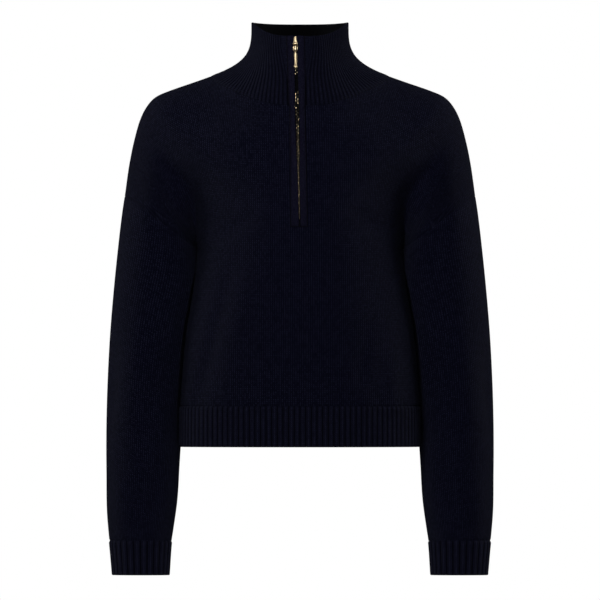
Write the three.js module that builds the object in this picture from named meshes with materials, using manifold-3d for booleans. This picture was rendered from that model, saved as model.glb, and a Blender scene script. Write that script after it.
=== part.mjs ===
// Quarter zip sweater, filled out as it is worn, with nobody in it: a hollow knitted shell.
// Millimetres, +Z up. The front faces -Y and +X is the viewer's right, as the front is looked at.
// The origin is the middle of the neck at the height of the neck's sides, where a wearer carries it.
// Every cloth piece is a wall: a grid of points on its outer face, and the same grid moved inwards.
import * as THREE from 'three';
import { mergeVertices } from 'three/addons/utils/BufferGeometryUtils.js';
import Module from 'manifold-3d';

const wasm = await Module();
wasm.setup();

// Driving dimensions
const WALL = 2.2; // thickness of the knitted cloth
const SEAM_GAP = 0.3; // space between two pieces that are sewn together
const SLEEVE_CLEARANCE = 3.4; // least space between a hanging sleeve and the body
const UNDERARM = { x: 134, z: -234 };
const ARMHOLE_TOP = { x: 228, z: -165 };
const NECK_SIDE = { x: 117, z: -9.5 };
const NECK_FRONT_Z = -48; // where the collar is sewn on at the centre front
const HEM = { top: -438, bottom: -491, ribs: 56, rise: 0.9 }; // ribs are counted on one half
const CUFF = { top: -613, bottom: -658, ribs: 28, rise: 0.9 };
const COLLAR = { ribs: 88, rise: 0.8, halfWidth: 62.4, front: -64, back: 52, middle: -4,
  frontZ: 42.5, sideZ: 60.5, backZ: 58.5, rimPower: 3.4 };
const FLARE = { side: 2.8, back: 1.4 }; // how much sooner the collar turns up at its sides, less so behind
const NECK_LEAN = { front: 0.3, back: 0.5, side: 2.5, depth: 80 }; // how the wall stands along the neck seam
const SECTION_POWER = 2.15; // how square a level cut through the body is, 2 being an ellipse
const CREASE_POWER = 0.62; // how the body falls into the crease beside the upper arm
const MERGE_POWER = 4; // how softly the body runs into the upper arm
const CREASE_START = 40; // height over the underarm at which the crease has opened
const ROLL = { neck: 100, arm: 50, armX: 200 }; // distance from the ridge over which the shoulder rolls down
const SIDE_CALM = 0.93; // share of the half width from which the folds fade out to the side
const SEAM_FADE = 170; // length over which a sleeve loses the armhole seam's shape
const CLEARANCE_RAMP = 25; // height below the underarm over which a sleeve gets clear of the body
const ZIP = { bottom: -197.6, slit: 2.4, topX: -5.9, bottomX: -0.5, top: 36 };
const PLACKET = { inner: 2.0, outer: 12.5, bottom: -205.4, thickness: 1.2 };
const CHAIN = { half: 1.7, proud: 0.9, thickness: 3.1 };
const TAPE = { outer: 11.5, thickness: 0.7, bottom: -202 };
const CHAIN_FOOT = 1.2; // from the slit's lower end to the lowest tooth

// Outline of the whole garment seen from the front: half of its width at each height
const OUTLINE = [
  { z: -9.5, half: 117 }, { z: -13, half: 126.7 }, { z: -18.2, half: 141.7 },
  { z: -23.4, half: 157 }, { z: -28.6, half: 171.5 }, { z: -33.8, half: 183.9 }, { z: -39, half: 191.5 },
  { z: -49.4, half: 200 }, { z: -65, half: 207.8 }, { z: -93.6, half: 216 }, { z: -124.8, half: 222.3 },
  { z: -165, half: 228 }, { z: -187.2, half: 231.3 }, { z: -234, half: 236.9 }, { z: -296, half: 243.2 },
  { z: -359, half: 248.2 }, { z: -421, half: 251.2 }, { z: -468, half: 252.2 }, { z: -530, half: 251.9 },
  { z: -577, half: 250.9 }, { z: -608, half: 248.6 }, { z: -624, half: 247 }, { z: -658, half: 244 },
];

// Level sections of the body: half width, y of the front and back, and y of the side seam.
// Above the underarm the half width is where the body rolls into the arm.
const BODY = [
  { z: 0, half: 224, front: -68, back: 72, side: 4 },
  { z: -12, half: 222, front: -72, back: 78, side: 6 },
  { z: -48, half: 215, front: -84, back: 90, side: 12 },
  { z: -80, half: 205, front: -101, back: 96, side: 15 },
  { z: -116, half: 185, front: -114, back: 98, side: 16 },
  { z: -135, half: 168, front: -119, back: 98, side: 16 },
  { z: -151, half: 156, front: -121, back: 97, side: 16 },
  { z: -166, half: 148, front: -123, back: 96, side: 16 },
  { z: -187, half: 142, front: -124, back: 94, side: 15 },
  { z: -204, half: 138.5, front: -123, back: 92, side: 14 },
  { z: -234, half: 134, front: -121, back: 89, side: 12 },
  { z: -260, half: 136, front: -119, back: 87, side: 8 },
  { z: -309, half: 142.5, front: -116, back: 86, side: 3 },
  { z: -334, half: 147, front: -113, back: 88, side: 1 },
  { z: -377, half: 151.6, front: -108, back: 92, side: 0 },
  { z: -409, half: 154, front: -104, back: 96, side: 0 },
  { z: -438, half: 156, front: -100, back: 98, side: 0 },
  { z: -491, half: 157, front: -98, back: 97, side: 0 },
];

// Upper arm inside the body panels: middle, half width, half depth, and how deep its crease is
const ARM = [
  { z: 0, middle: 110, width: 60, depth: 60, crease: 0 },
  { z: -50, middle: 150, width: 52, depth: 58, crease: 0 },
  { z: -90, middle: 165, width: 50, depth: 57, crease: 0.05 },
  { z: -125, middle: 172, width: 50, depth: 56, crease: 0.25 },
  { z: -165, middle: 179, width: 48, depth: 55, crease: 0.6 },
  { z: -200, middle: 183, width: 50, depth: 54, crease: 0.92 },
  { z: -234, middle: 185.5, width: 51.5, depth: 54, crease: 1 },
];

// Sleeve rings below the armhole seam. z is the height of a ring's outer side.
const SLEEVE = [
  { z: -165, innerX: 134, innerZ: -234, middleY: 15, depth: 54 },
  { z: -200, innerX: 131.5, innerZ: -258, middleY: 18, depth: 54 },
  { z: -250, innerX: 129.5, innerZ: -292, middleY: 22, depth: 54 },
  { z: -310, innerX: 134, innerZ: -336, middleY: 27, depth: 53 },
  { z: -380, innerX: 144.5, innerZ: -394, middleY: 32, depth: 51 },
  { z: -450, innerX: 152.5, innerZ: -455, middleY: 35, depth: 49 },
  { z: -510, innerX: 156.5, innerZ: -511, middleY: 35, depth: 46 },
  { z: -560, innerX: 159.5, innerZ: -560, middleY: 33, depth: 42 },
  { z: -600, innerX: 165, innerZ: -600, middleY: 30, depth: 37 },
  { z: -613, innerX: 167, innerZ: -613, middleY: 29, depth: 35 },
  { z: -658, innerX: 170.3, innerZ: -658, middleY: 27, depth: 32 },
];

// Neck seam seen from the front, on the front and on the back panel
const NECK_FRONT = [
  [0, -48], [20, -46.8], [38, -45], [56, -40], [74, -33.5], [88, -27], [103, -20], [112, -14.5],
  [117, -9.5],
];
const NECK_BACK = [[0, -12], [30, -12], [60, -11.5], [90, -10.5], [117, -9.5]];

// Largest folds: a soft ridge or trough along a line, its half width, and how far it stands out
const FRONT_FOLDS = [
  { x0: -122, z0: -345, x1: -137, z1: -438, width: 10, rise: 5 },
  { x0: -141, z0: -330, x1: -147, z1: -436, width: 7, rise: -3 },
  { x0: 121, z0: -358, x1: 127, z1: -438, width: 13, rise: 4 },
  { x0: 60, z0: -392, x1: 84, z1: -438, width: 14, rise: 2.5 },
  { x0: -118, z0: -230, x1: -70, z1: -196, width: 10, rise: -2.5 },
  { x0: 116, z0: -226, x1: 74, z1: -186, width: 10, rise: -2.5 },
];
const BACK_FOLDS = [
  { x0: -112, z0: -330, x1: -132, z1: -438, width: 12, rise: 4.5 },
  { x0: 106, z0: -345, x1: 130, z1: -438, width: 11, rise: 4 },
  { x0: -70, z0: -300, x1: 20, z1: -318, width: 16, rise: -3 },
  { x0: -122, z0: -215, x1: -84, z1: -160, width: 11, rise: -3 },
  { x0: 120, z0: -212, x1: 88, z1: -150, width: 11, rise: -3 },
];
const FOLD_SPAN = [0.086, 0.72]; // the part of a half wave that a fold swells and fades by

// A sleeve's folds run along it: angle from its outer side, positive to the front, and two heights
const SLEEVE_FOLDS = [
  { angle: 0.5, z0: -330, z1: -500, width: 0.3, rise: -3.5 },
  { angle: 1.25, z0: -300, z1: -470, width: 0.35, rise: 2.5 },
  { angle: -0.9, z0: -360, z1: -520, width: 0.35, rise: -3 },
  { angle: 2.1, z0: -330, z1: -430, width: 0.3, rise: -2.5 },
];

// Grid rows and columns
const LOWER_ROWS = 8; // from the hem seam to the underarm
const NECK_COLUMNS = 6; // columns of a half panel that end on the neck seam
const RIDGE_COLUMNS = 8; // columns of a half panel that end on the shoulder's ridge
const NECK_SHARE = 0.5; // share of the way to the side seam at which the neck's side hangs
const FRONT_START = { low: 0.07, top: 0.12 }; // where a front half's shares start, beside the zip's band
const UPPER_ROWS = [0.154, 0.196, 0.33, 0.47, 0.6, 0.72, 0.82, 0.9, 0.96, 1]; // underarm to shoulder
const SLEEVE_ROWS = 15;
const SLEEVE_COLUMNS = 22;
const COLLAR_ROWS = [0, 0.09, 0.23, 0.43, 0.7, 1];

const FRONT = -1;
const BACK = 1;
const clamp = THREE.MathUtils.clamp;
const lerp = THREE.MathUtils.lerp;
const smoothstep = THREE.MathUtils.smoothstep;
const vector = (x, y, z) => new THREE.Vector3(x, y, z);

// A table's column at a height, on a smooth curve through its rows, which run from high to low
function read(table, z, column) {
  const last = table.length - 1;
  if (z >= table[0].z) return table[0][column];
  if (z <= table[last].z) return table[last][column];
  const i = table.findIndex((row) => row.z < z) - 1;
  const slope = (a, b) => (table[b][column] - table[a][column]) / (table[b].z - table[a].z);
  const tangent = (k) => {
    if (k === 0) return slope(0, 1);
    if (k === last) return slope(last - 1, last);
    return (slope(k - 1, k) + slope(k, k + 1)) / 2;
  };
  const span = table[i + 1].z - table[i].z;
  const t = (z - table[i].z) / span;
  const start = (1 + 2 * t) * (1 - t) ** 2 * table[i][column] + t * (1 - t) ** 2 * span * tangent(i);
  const end = t * t * (3 - 2 * t) * table[i + 1][column] + t * t * (t - 1) * span * tangent(i + 1);
  return start + end;
}

// Sum of the folds of a table at a point of the front view
function foldRise(folds, x, z) {
  let rise = 0;
  for (const fold of folds) {
    const dx = fold.x1 - fold.x0;
    const dz = fold.z1 - fold.z0;
    const along = clamp(((x - fold.x0) * dx + (z - fold.z0) * dz) / (dx * dx + dz * dz), 0, 1);
    const away = Math.hypot(x - fold.x0 - along * dx, z - fold.z0 - along * dz);
    const swell = Math.sin(Math.PI * lerp(...FOLD_SPAN, along));
    rise += fold.rise * swell * Math.exp(-((away / fold.width) ** 2));
  }
  return rise;
}

// The ridge from the neck's side over the shoulder to the armhole seam, in the front view
const ridgeRows = OUTLINE.filter((row) => row.z >= ARMHOLE_TOP.z);
const ridge = new THREE.CatmullRomCurve3(ridgeRows.map((row) => vector(row.half, 0, row.z)));
const ridgePoints = ridge.getSpacedPoints(90);

function ridgeDistance(x, z) {
  let best = Infinity;
  for (let i = 1; i < ridgePoints.length; i++) {
    const a = ridgePoints[i - 1];
    const b = ridgePoints[i];
    const dx = b.x - a.x;
    const dz = b.z - a.z;
    const t = clamp(((x - a.x) * dx + (z - a.z) * dz) / (dx * dx + dz * dz), 0, 1);
    best = Math.min(best, Math.hypot(x - a.x - t * dx, z - a.z - t * dz));
  }
  return best;
}

// How far the cloth stands off the side seam's plane at a point of the front view
function reach(x, z, face) {
  const side = read(BODY, z, 'side');
  const depth = face === FRONT ? side - read(BODY, z, 'front') : read(BODY, z, 'back') - side;
  const across = clamp(Math.abs(x) / read(BODY, z, 'half'), 0, 1);
  const open = smoothstep(z, UNDERARM.z, UNDERARM.z + CREASE_START);
  const body = depth * (1 - across ** SECTION_POWER) ** lerp(1 / SECTION_POWER, CREASE_POWER, open);
  if (z <= UNDERARM.z) return body;
  const crease = read(ARM, z, 'crease');
  const inner = clamp((read(ARM, z, 'middle') - Math.abs(x)) / read(ARM, z, 'width'), 0, 1);
  const arm = read(ARM, z, 'depth') * (1 - crease + crease * Math.sqrt(1 - inner * inner));
  const merged = (body ** MERGE_POWER + arm ** MERGE_POWER) ** (1 / MERGE_POWER);
  const round = lerp(ROLL.neck, ROLL.arm, smoothstep(Math.abs(x), NECK_SIDE.x, ROLL.armX));
  const near = clamp(ridgeDistance(Math.abs(x), z) / round, 0, 1);
  return merged * Math.sqrt(1 - (1 - near) ** 2);
}

// A point on the outer face of the body. On the ridge the front and back meet.
function bodyPoint(x, z, face, onRidge = false) {
  const edge = Math.abs(x) / Math.max(read(BODY, z, 'half'), 1);
  const calm = 1 - smoothstep(edge, SIDE_CALM, 1);
  const fold = foldRise(face === FRONT ? FRONT_FOLDS : BACK_FOLDS, x, z) * calm;
  const off = onRidge ? 0 : reach(x, z, face) + fold;
  return vector(x, read(BODY, z, 'side') + face * (off + SEAM_GAP / 2), z);
}

// x on a level section, at a share of the way round from the middle to the side seam
function sectionX(z, share, face) {
  const half = read(BODY, z, 'half');
  const steps = 80;
  const points = Array.from({ length: steps + 1 }, (_, i) => {
    const x = half * Math.sin((i / steps) * Math.PI / 2);
    return { x, y: reach(x, Math.min(z, UNDERARM.z), face) };
  });
  const lengths = [0];
  for (let i = 1; i <= steps; i++) {
    lengths.push(lengths[i - 1] + Math.hypot(points[i].x - points[i - 1].x, points[i].y - points[i - 1].y));
  }
  const target = share * lengths[steps];
  const k = clamp(lengths.findIndex((length) => length >= target), 1, steps);
  const t = (target - lengths[k - 1]) / (lengths[k] - lengths[k - 1]);
  return lerp(points[k - 1].x, points[k].x, clamp(t, 0, 1));
}

// A line of points measured along its length
function measured(points) {
  const lengths = [0];
  for (let i = 1; i < points.length; i++) {
    lengths.push(lengths[i - 1] + points[i].distanceTo(points[i - 1]));
  }
  const total = lengths[points.length - 1];
  const at = (distance) => {
    const k = clamp(lengths.findIndex((length) => length >= distance - 1e-9), 1, points.length - 1);
    const t = clamp((distance - lengths[k - 1]) / (lengths[k] - lengths[k - 1]), 0, 1);
    return points[k - 1].clone().lerp(points[k], t);
  };
  return { lengths, total, at };
}

// x of the zip's middle at a height: it leans a little to the viewer's left at the top
const zipX = (z) => lerp(ZIP.bottomX, ZIP.topX,
  clamp((z - ZIP.bottom) / (COLLAR.frontZ - ZIP.bottom), 0, 1));

// Height of the front neck seam near its middle
function neckFrontZ(x) {
  const [, z0] = NECK_FRONT[0];
  const [x1, z1] = NECK_FRONT[1];
  return lerp(z0, z1, clamp(Math.abs(x) / x1, 0, 1) ** 2);
}

// The upper end of a column: on the neck seam up to share 1, and on the ridge from 1 to 2
function columnTop(face, column) {
  if (column.k) {
    const x = zipX(NECK_FRONT_Z) + column.sign * column.k;
    return { x, z: neckFrontZ(x) };
  }
  const neck = (face === FRONT ? NECK_FRONT : NECK_BACK).map(([x, z]) => vector(x, 0, z));
  const point = column.top <= 1
    ? new THREE.CatmullRomCurve3(neck, false, 'centripetal').getPointAt(column.top)
    : ridge.getPointAt(column.top - 1);
  return { x: column.sign * point.x, z: point.z };
}

// Columns of one half of a panel, from the middle out. k is a fixed distance from the zip,
// low is the share of the way round to the side seam, top is the place on the upper edge.
function halfColumns(face, sign) {
  const columns = face === FRONT
    ? [{ sign, k: ZIP.slit }, { sign, k: PLACKET.outer }] : [{ sign, low: 0, top: 0 }];
  const start = face === FRONT ? FRONT_START : { low: 0, top: 0 };
  for (let j = 1; j <= NECK_COLUMNS; j++) {
    const t = j / NECK_COLUMNS;
    columns.push({ sign, low: lerp(start.low, NECK_SHARE, t), top: lerp(start.top, 1, t) });
  }
  for (let j = 1; j <= RIDGE_COLUMNS; j++) {
    const t = j / RIDGE_COLUMNS;
    columns.push({ sign, low: lerp(NECK_SHARE, 1, t), top: 1 + t });
  }
  return columns;
}

// The outer points of a panel, row by row from the hem seam up
function panelGrid(face) {
  const firstSign = face === FRONT ? -1 : 1;
  const first = halfColumns(face, firstSign).reverse();
  const second = halfColumns(face, -firstSign);
  const columns = [...first, ...(face === FRONT ? second : second.slice(1))];
  const lowX = (column, z) => (column.k
    ? zipX(z) + column.sign * column.k : column.sign * sectionX(z, column.low, face));
  const rows = [];
  for (let i = 0; i <= LOWER_ROWS; i++) {
    const z = lerp(HEM.top, UNDERARM.z, i / LOWER_ROWS);
    rows.push(columns.map((column) => bodyPoint(lowX(column, z), z, face)));
  }
  for (const rise of UPPER_ROWS) {
    rows.push(columns.map((column) => {
      const end = columnTop(face, column);
      const z = lerp(UNDERARM.z, end.z, rise);
      const x = column.k
        ? zipX(z) + column.sign * column.k : lerp(lowX(column, UNDERARM.z), end.x, rise);
      return bodyPoint(x, z, face, rise === 1 && column.top >= 1);
    }));
  }
  return { rows, columns };
}

// Normals of a grid of outer points, from its neighbours each way
function gridNormals(rows, closed, facing) {
  const count = rows[0].length;
  return rows.map((row, i) => row.map((_, j) => {
    const left = closed ? (j + count - 1) % count : Math.max(j - 1, 0);
    const right = closed ? (j + 1) % count : Math.min(j + 1, count - 1);
    const across = row[right].clone().sub(row[left]);
    const up = rows[Math.min(i + 1, rows.length - 1)][j].clone().sub(rows[Math.max(i - 1, 0)][j]);
    return across.cross(up).normalize().multiplyScalar(facing);
  }));
}

// The part of a normal that lies in a seam's plane, so that both sides of the seam end alike
const inSeam = (normal, seam) => normal.clone().addScaledVector(seam, -normal.dot(seam)).normalize();

// A closed wall from a grid of outer points. facing says which way the grid's faces point,
// keep drops cells, seam turns the normals at seams, and raise moves outer points out.
function wall(rows, { closed = false, facing = 1, thickness = WALL, keep = () => true,
  seam = (i, j, normal) => normal, raise = () => 0 } = {}) {
  const count = rows[0].length;
  const normals = gridNormals(rows, closed, facing).map((row, i) => row.map((n, j) => seam(i, j, n)));
  const outer = rows.map((row, i) => row.map((p, j) => p.clone().addScaledVector(normals[i][j], raise(i, j))));
  const inner = rows.map((row, i) => row.map((p, j) => p.clone().addScaledVector(normals[i][j], -thickness)));
  const cellsAcross = closed ? count : count - 1;
  const kept = (i, j) => i >= 0 && i < rows.length - 1
    && (closed || (j >= 0 && j < cellsAcross)) && keep(i, (j + count) % count);
  const corners = [];
  const face = (a, b, c) => corners.push(...(facing > 0 ? [a, b, c] : [a, c, b]));
  for (let i = 0; i < rows.length - 1; i++) {
    for (let j = 0; j < cellsAcross; j++) {
      if (!kept(i, j)) continue;
      const next = (j + 1) % count;
      const ring = [[i, j], [i, next], [i + 1, next], [i + 1, j]];
      const beside = [[i - 1, j], [i, j + 1], [i + 1, j], [i, j - 1]];
      const out = ring.map(([r, c]) => outer[r][c]);
      const back = ring.map(([r, c]) => inner[r][c]);
      face(out[0], out[1], out[2]);
      face(out[0], out[2], out[3]);
      face(back[0], back[2], back[1]);
      face(back[0], back[3], back[2]);
      for (let side = 0; side < 4; side++) {
        if (kept(...beside[side])) continue;
        const end = (side + 1) % 4;
        face(out[end], out[side], back[side]);
        face(out[end], back[side], back[end]);
      }
    }
  }
  return closedGeometry(corners);
}

function closedGeometry(corners) {
  const geometry = new THREE.BufferGeometry();
  const numbers = corners.flatMap((p) => [p.x, p.y, p.z]);
  geometry.setAttribute('position', new THREE.Float32BufferAttribute(numbers, 3));
  return mergeVertices(geometry, 1e-4);
}

// The armhole seam is a straight line in the front view. Its plane runs along it and along Y.
const armholeSeam = (sign) => vector(
  sign * (ARMHOLE_TOP.z - UNDERARM.z), 0, UNDERARM.x - ARMHOLE_TOP.x).normalize();
const levelSeam = vector(0, 0, 1);
const sideSeam = vector(0, 1, 0);

// Direction of the wall's thickness at the neck seam, shared by the panels and the collar
function neckNormal(p) {
  const side = smoothstep(Math.abs(p.x) / NECK_SIDE.x, 0.35, 1);
  const rise = lerp(p.y < 0 ? NECK_LEAN.front : NECK_LEAN.back, NECK_LEAN.side, side);
  const middleY = read(BODY, NECK_SIDE.z, 'side');
  return vector(p.x / NECK_SIDE.x, (p.y - middleY) / NECK_LEAN.depth, 0).normalize().setZ(rise).normalize();
}

const frontGrid = panelGrid(FRONT);
const backGrid = panelGrid(BACK);

function bodyPanel({ rows, columns }, keep) {
  const top = rows.length - 1;
  const seam = (i, j, normal) => {
    const column = columns[j];
    const atEnd = j === 0 || j === columns.length - 1;
    let n = normal;
    if (i === 0) n = inSeam(n, levelSeam);
    if (i === top && (column.k || column.top <= 1)) return neckNormal(rows[i][j]);
    if (i === top || (atEnd && i <= LOWER_ROWS)) n = inSeam(n, sideSeam);
    if (atEnd && i >= LOWER_ROWS) n = inSeam(n, armholeSeam(column.sign));
    return n;
  };
  return wall(rows, { seam, keep });
}

// The front is slit between its two middle columns, above the zip's lower end
const slitRow = LOWER_ROWS + 2;
const slitColumn = frontGrid.columns.findIndex((column) => column.sign > 0) - 1;
const bodyFront = bodyPanel(frontGrid, (i, j) => j !== slitColumn || i < slitRow);
const bodyBack = bodyPanel(backGrid);

// Ribbed band of the hem: every second column of points stands out
function hemBand(face) {
  const cells = HEM.ribs * 2;
  const heights = [HEM.bottom, HEM.top - SEAM_GAP];
  const rows = heights.map((z) => Array.from({ length: cells + 1 }, (_, j) => {
    const across = -face * (2 * j / cells - 1);
    return bodyPoint(Math.sign(across) * sectionX(z, Math.abs(across), face), z, face);
  }));
  return wall(rows, {
    seam: (i, j, n) => (j === 0 || j === cells ? inSeam(inSeam(n, levelSeam), sideSeam) : inSeam(n, levelSeam)),
    raise: (i, j) => (j % 2) * HEM.rise,
  });
}

// Half width of the hanging body at a height and a place from front to back
function bodySide(y, z) {
  const side = read(BODY, z, 'side');
  const depth = y < side ? side - read(BODY, z, 'front') : read(BODY, z, 'back') - side;
  const out = clamp(Math.abs(y - side) / depth, 0, 1);
  return read(BODY, z, 'half') * (1 - out ** SECTION_POWER) ** (1 / SECTION_POWER);
}

// One point of a sleeve or cuff: angle 0 is its outer side, a quarter turn on is its front
function sleevePoint(sign, z, angle) {
  const outer = (1 + Math.cos(angle)) / 2;
  const across = (height) => lerp(read(SLEEVE, height, 'innerX'), read(OUTLINE, height, 'half'), outer);
  const upright = (height) => lerp(read(SLEEVE, height, 'innerZ'), height, outer);
  const ellipseY = (height) => (
    read(SLEEVE, height, 'middleY') - read(SLEEVE, height, 'depth') * Math.sin(angle));
  const start = ARMHOLE_TOP.z;
  const face = Math.sin(angle) >= 0 ? FRONT : BACK;
  const startX = lerp(UNDERARM.x, ARMHOLE_TOP.x, outer);
  const startZ = lerp(UNDERARM.z, ARMHOLE_TOP.z, outer);
  const seamY = read(BODY, startZ, 'side') + face * reach(startX, startZ, face);
  const fade = 1 - smoothstep(start - z, 0, SEAM_FADE);
  let x = across(z);
  let y = ellipseY(z) + (seamY - ellipseY(start)) * fade;
  const level = upright(z);
  for (const fold of SLEEVE_FOLDS) {
    const window = Math.sin(Math.PI * clamp((z - fold.z0) / (fold.z1 - fold.z0), 0, 1));
    const rise = fold.rise * window * Math.exp(-(((angle - fold.angle) / fold.width) ** 2));
    x += rise * Math.cos(angle);
    y -= rise * Math.sin(angle);
  }
  if (level < UNDERARM.z) {
    const space = lerp(SEAM_GAP, SLEEVE_CLEARANCE, smoothstep(UNDERARM.z - level, 0, CLEARANCE_RAMP));
    x = Math.max(x, bodySide(y, level) + space);
  }
  return vector(sign * x, y, level);
}

function sleeveRing(sign, z, count) {
  return Array.from({ length: count }, (_, j) => sleevePoint(sign, z, (j / count) * 2 * Math.PI));
}

function sleeve(sign) {
  const seam = armholeSeam(sign);
  const rows = Array.from({ length: SLEEVE_ROWS + 1 }, (_, i) => (
    sleeveRing(sign, lerp(ARMHOLE_TOP.z, CUFF.top, i / SLEEVE_ROWS), SLEEVE_COLUMNS)));
  rows[0] = rows[0].map((p) => p.clone().addScaledVector(seam, SEAM_GAP));
  const turn = (i, j, n) => {
    if (i === 0) return inSeam(n, seam);
    return i === SLEEVE_ROWS ? inSeam(n, levelSeam) : n;
  };
  return wall(rows, { closed: true, facing: sign, seam: turn });
}

function cuff(sign) {
  const heights = [CUFF.top - SEAM_GAP, CUFF.bottom];
  const rows = heights.map((z) => sleeveRing(sign, z, CUFF.ribs * 2));
  return wall(rows, {
    closed: true,
    facing: sign,
    seam: (i, j, n) => inSeam(n, levelSeam),
    raise: (i, j) => (j % 2) * CUFF.rise,
  });
}

// The neck seam as one open ring, from the zip's right side round the back to its left side
const neckEdge = ({ rows, columns }) => rows[rows.length - 1]
  .map((point, j) => ({ point, column: columns[j] }))
  .filter(({ column }) => column.k || column.top <= 1);
const frontNeck = neckEdge(frontGrid);
const neckRing = measured([
  ...frontNeck.filter(({ column }) => column.sign > 0),
  ...neckEdge(backGrid).slice(1, -1),
  ...frontNeck.filter(({ column }) => column.sign < 0),
].map(({ point }) => point));

// The collar's upper rim: an ellipse in plan, lower at the front
function rimPoint(angle) {
  const forward = Math.cos(angle);
  const y = COLLAR.middle
    + forward * (forward > 0 ? COLLAR.front - COLLAR.middle : COLLAR.middle - COLLAR.back);
  const end = forward > 0 ? COLLAR.frontZ : COLLAR.backZ;
  const z = lerp(end, COLLAR.sideZ, Math.abs(Math.sin(angle)) ** COLLAR.rimPower);
  return vector(COLLAR.halfWidth * Math.sin(angle), y, z);
}
const rimStart = Math.asin((ZIP.topX + ZIP.slit) / COLLAR.halfWidth);
const rimEnd = 2 * Math.PI + Math.asin((ZIP.topX - ZIP.slit) / COLLAR.halfWidth);
const rimRing = measured(Array.from({ length: 241 }, (_, i) => rimPoint(lerp(rimStart, rimEnd, i / 240))));

// A point of an open ring at a distance from the zip, to the viewer's right or left
function ringPoint(ring, k) {
  if (Math.abs(k) < ZIP.slit) {
    return ring.at(ring.total).lerp(ring.at(0), (k + ZIP.slit) / (2 * ZIP.slit));
  }
  return ring.at(k > 0 ? k - ZIP.slit : ring.total + k + ZIP.slit);
}

// The collar rises from the neck seam to the rim. flare bends it in quickly at the neck's sides.
function collarPoint(base, rim, rise, flare) {
  const inward = 1 - (1 - rise) ** flare;
  return vector(lerp(base.x, rim.x, inward), lerp(base.y, rim.y, inward), lerp(base.z, rim.z, rise));
}

function collar() {
  const bandCells = PLACKET.outer - ZIP.slit;
  const cells = COLLAR.ribs * 2;
  const distances = (ring) => [
    0,
    ...Array.from({ length: cells + 1 }, (_, j) => lerp(bandCells, ring.total - bandCells, j / cells)),
    ring.total,
  ];
  const baseDistances = distances(neckRing);
  const rimDistances = distances(rimRing);
  const rows = COLLAR_ROWS.map((rise) => baseDistances.map((distance, j) => {
    const round = Math.min(distance, neckRing.total - distance) / (neckRing.total / 2);
    const flare = 1 + FLARE.side * smoothstep(round, 0.1, 0.5) - FLARE.back * smoothstep(round, 0.55, 1);
    return collarPoint(neckRing.at(distance), rimRing.at(rimDistances[j]), rise, flare);
  }));
  rows[0] = rows[0].map((p, j) => {
    const up = rows[1][j].clone().sub(p).normalize();
    return p.clone().addScaledVector(up, SEAM_GAP);
  });
  const last = baseDistances.length - 1;
  return wall(rows, {
    seam: (i, j, n) => (i === 0 ? neckNormal(rows[0][j]) : n),
    raise: (i, j) => (i > 0 && j > 1 && j < last - 1 && j % 2 === 0 ? COLLAR.rise : 0),
  });
}

// A point beside the zip. Levels 0 to 1 are on the front panel, 1 to 2 are on the collar.
function bandPoint(k, level) {
  if (level > 1) return collarPoint(ringPoint(neckRing, k), ringPoint(rimRing, k), level - 1, 1);
  const topZ = neckFrontZ(zipX(NECK_FRONT_Z) + k);
  const z = lerp(UNDERARM.z, topZ, level);
  return bodyPoint(zipX(z) + k, z, FRONT);
}
const levelOf = (z) => (z <= NECK_FRONT_Z
  ? (z - UNDERARM.z) / (NECK_FRONT_Z - UNDERARM.z)
  : 1 + (z - NECK_FRONT_Z) / (COLLAR.frontZ - NECK_FRONT_Z));
const gridLevels = [...UPPER_ROWS, ...COLLAR_ROWS.slice(1).map((rise) => 1 + rise)];

// A strip along the zip, made from the points beside it and moved out by outside
function strip(from, to, edges, outside, thickness) {
  const levels = [from, ...gridLevels.filter((level) => level > from + 0.01 && level < to - 0.01), to];
  const middle = levels.map((level) => [bandPoint(-ZIP.slit, level), bandPoint(ZIP.slit, level)]);
  const normals = gridNormals(middle, false, 1).map(([normal]) => normal);
  const rows = levels.map((level, i) => edges(level).map((k) => (
    bandPoint(k, level).addScaledVector(normals[i], outside))));
  return wall(rows, { thickness, seam: (i) => normals[i] });
}

const placketBottom = UPPER_ROWS[0];
function placket(sign) {
  const edges = (level) => {
    const inner = level > placketBottom ? PLACKET.inner : SEAM_GAP / 2;
    return sign > 0 ? [inner, PLACKET.outer] : [-PLACKET.outer, -inner];
  };
  return strip(placketBottom, 2, edges, SEAM_GAP + PLACKET.thickness, PLACKET.thickness);
}

const zipTopLevel = levelOf(ZIP.top);
const chainBottomLevel = levelOf(ZIP.bottom + CHAIN_FOOT);
const tapeBottomLevel = levelOf(TAPE.bottom);
function zipTape(sign) {
  const edges = () => (sign > 0 ? [SEAM_GAP / 2, TAPE.outer] : [-TAPE.outer, -SEAM_GAP / 2]);
  return strip(tapeBottomLevel, zipTopLevel, edges, -WALL - SEAM_GAP, TAPE.thickness);
}
const zipChain = () => strip(chainBottomLevel, zipTopLevel,
  () => [-CHAIN.half, CHAIN.half], CHAIN.proud, CHAIN.thickness);

// Slider and pull tab, in their own frame: +Z up the zip, -Y away from the cloth, origin on the
// cloth's outer face at the slider's middle
const SLIDER = { z: 36, width: 7, height: 13.4, corner: 2, plate: 1.3, off: 1.8, backOff: 3.6,
  post: 2.2, postHeight: 2.4, postZ: 4.6 };
const BAR = { y: -5.5, z: -4.9, radius: 0.8, cheek: 1.0, cheekIn: 2.3, cheekRadius: 1.6 };
const ROUND = 14; // sides of a small turned shape
const OVERLAP = 0.4; // how far a cheek reaches into the slider's plate
const PULL = { barrel: 1.8, bore: 1.1, half: 2.0, lean: 2.2 };
// Outline of the pull from its end to the barrel: radius and height below the bar
const PULL_PROFILE = [
  [0, -30.2], [1.3, -29.9], [2.2, -28.9], [2.6, -27.4], [2.5, -25.9], [2.0, -24.6], [1.85, -22],
  [1.5, -9.6], [1.2, -8.9], [1.2, -8.3], [1.6, -7.6], [1.6, -1], [0, -1],
];

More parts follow.
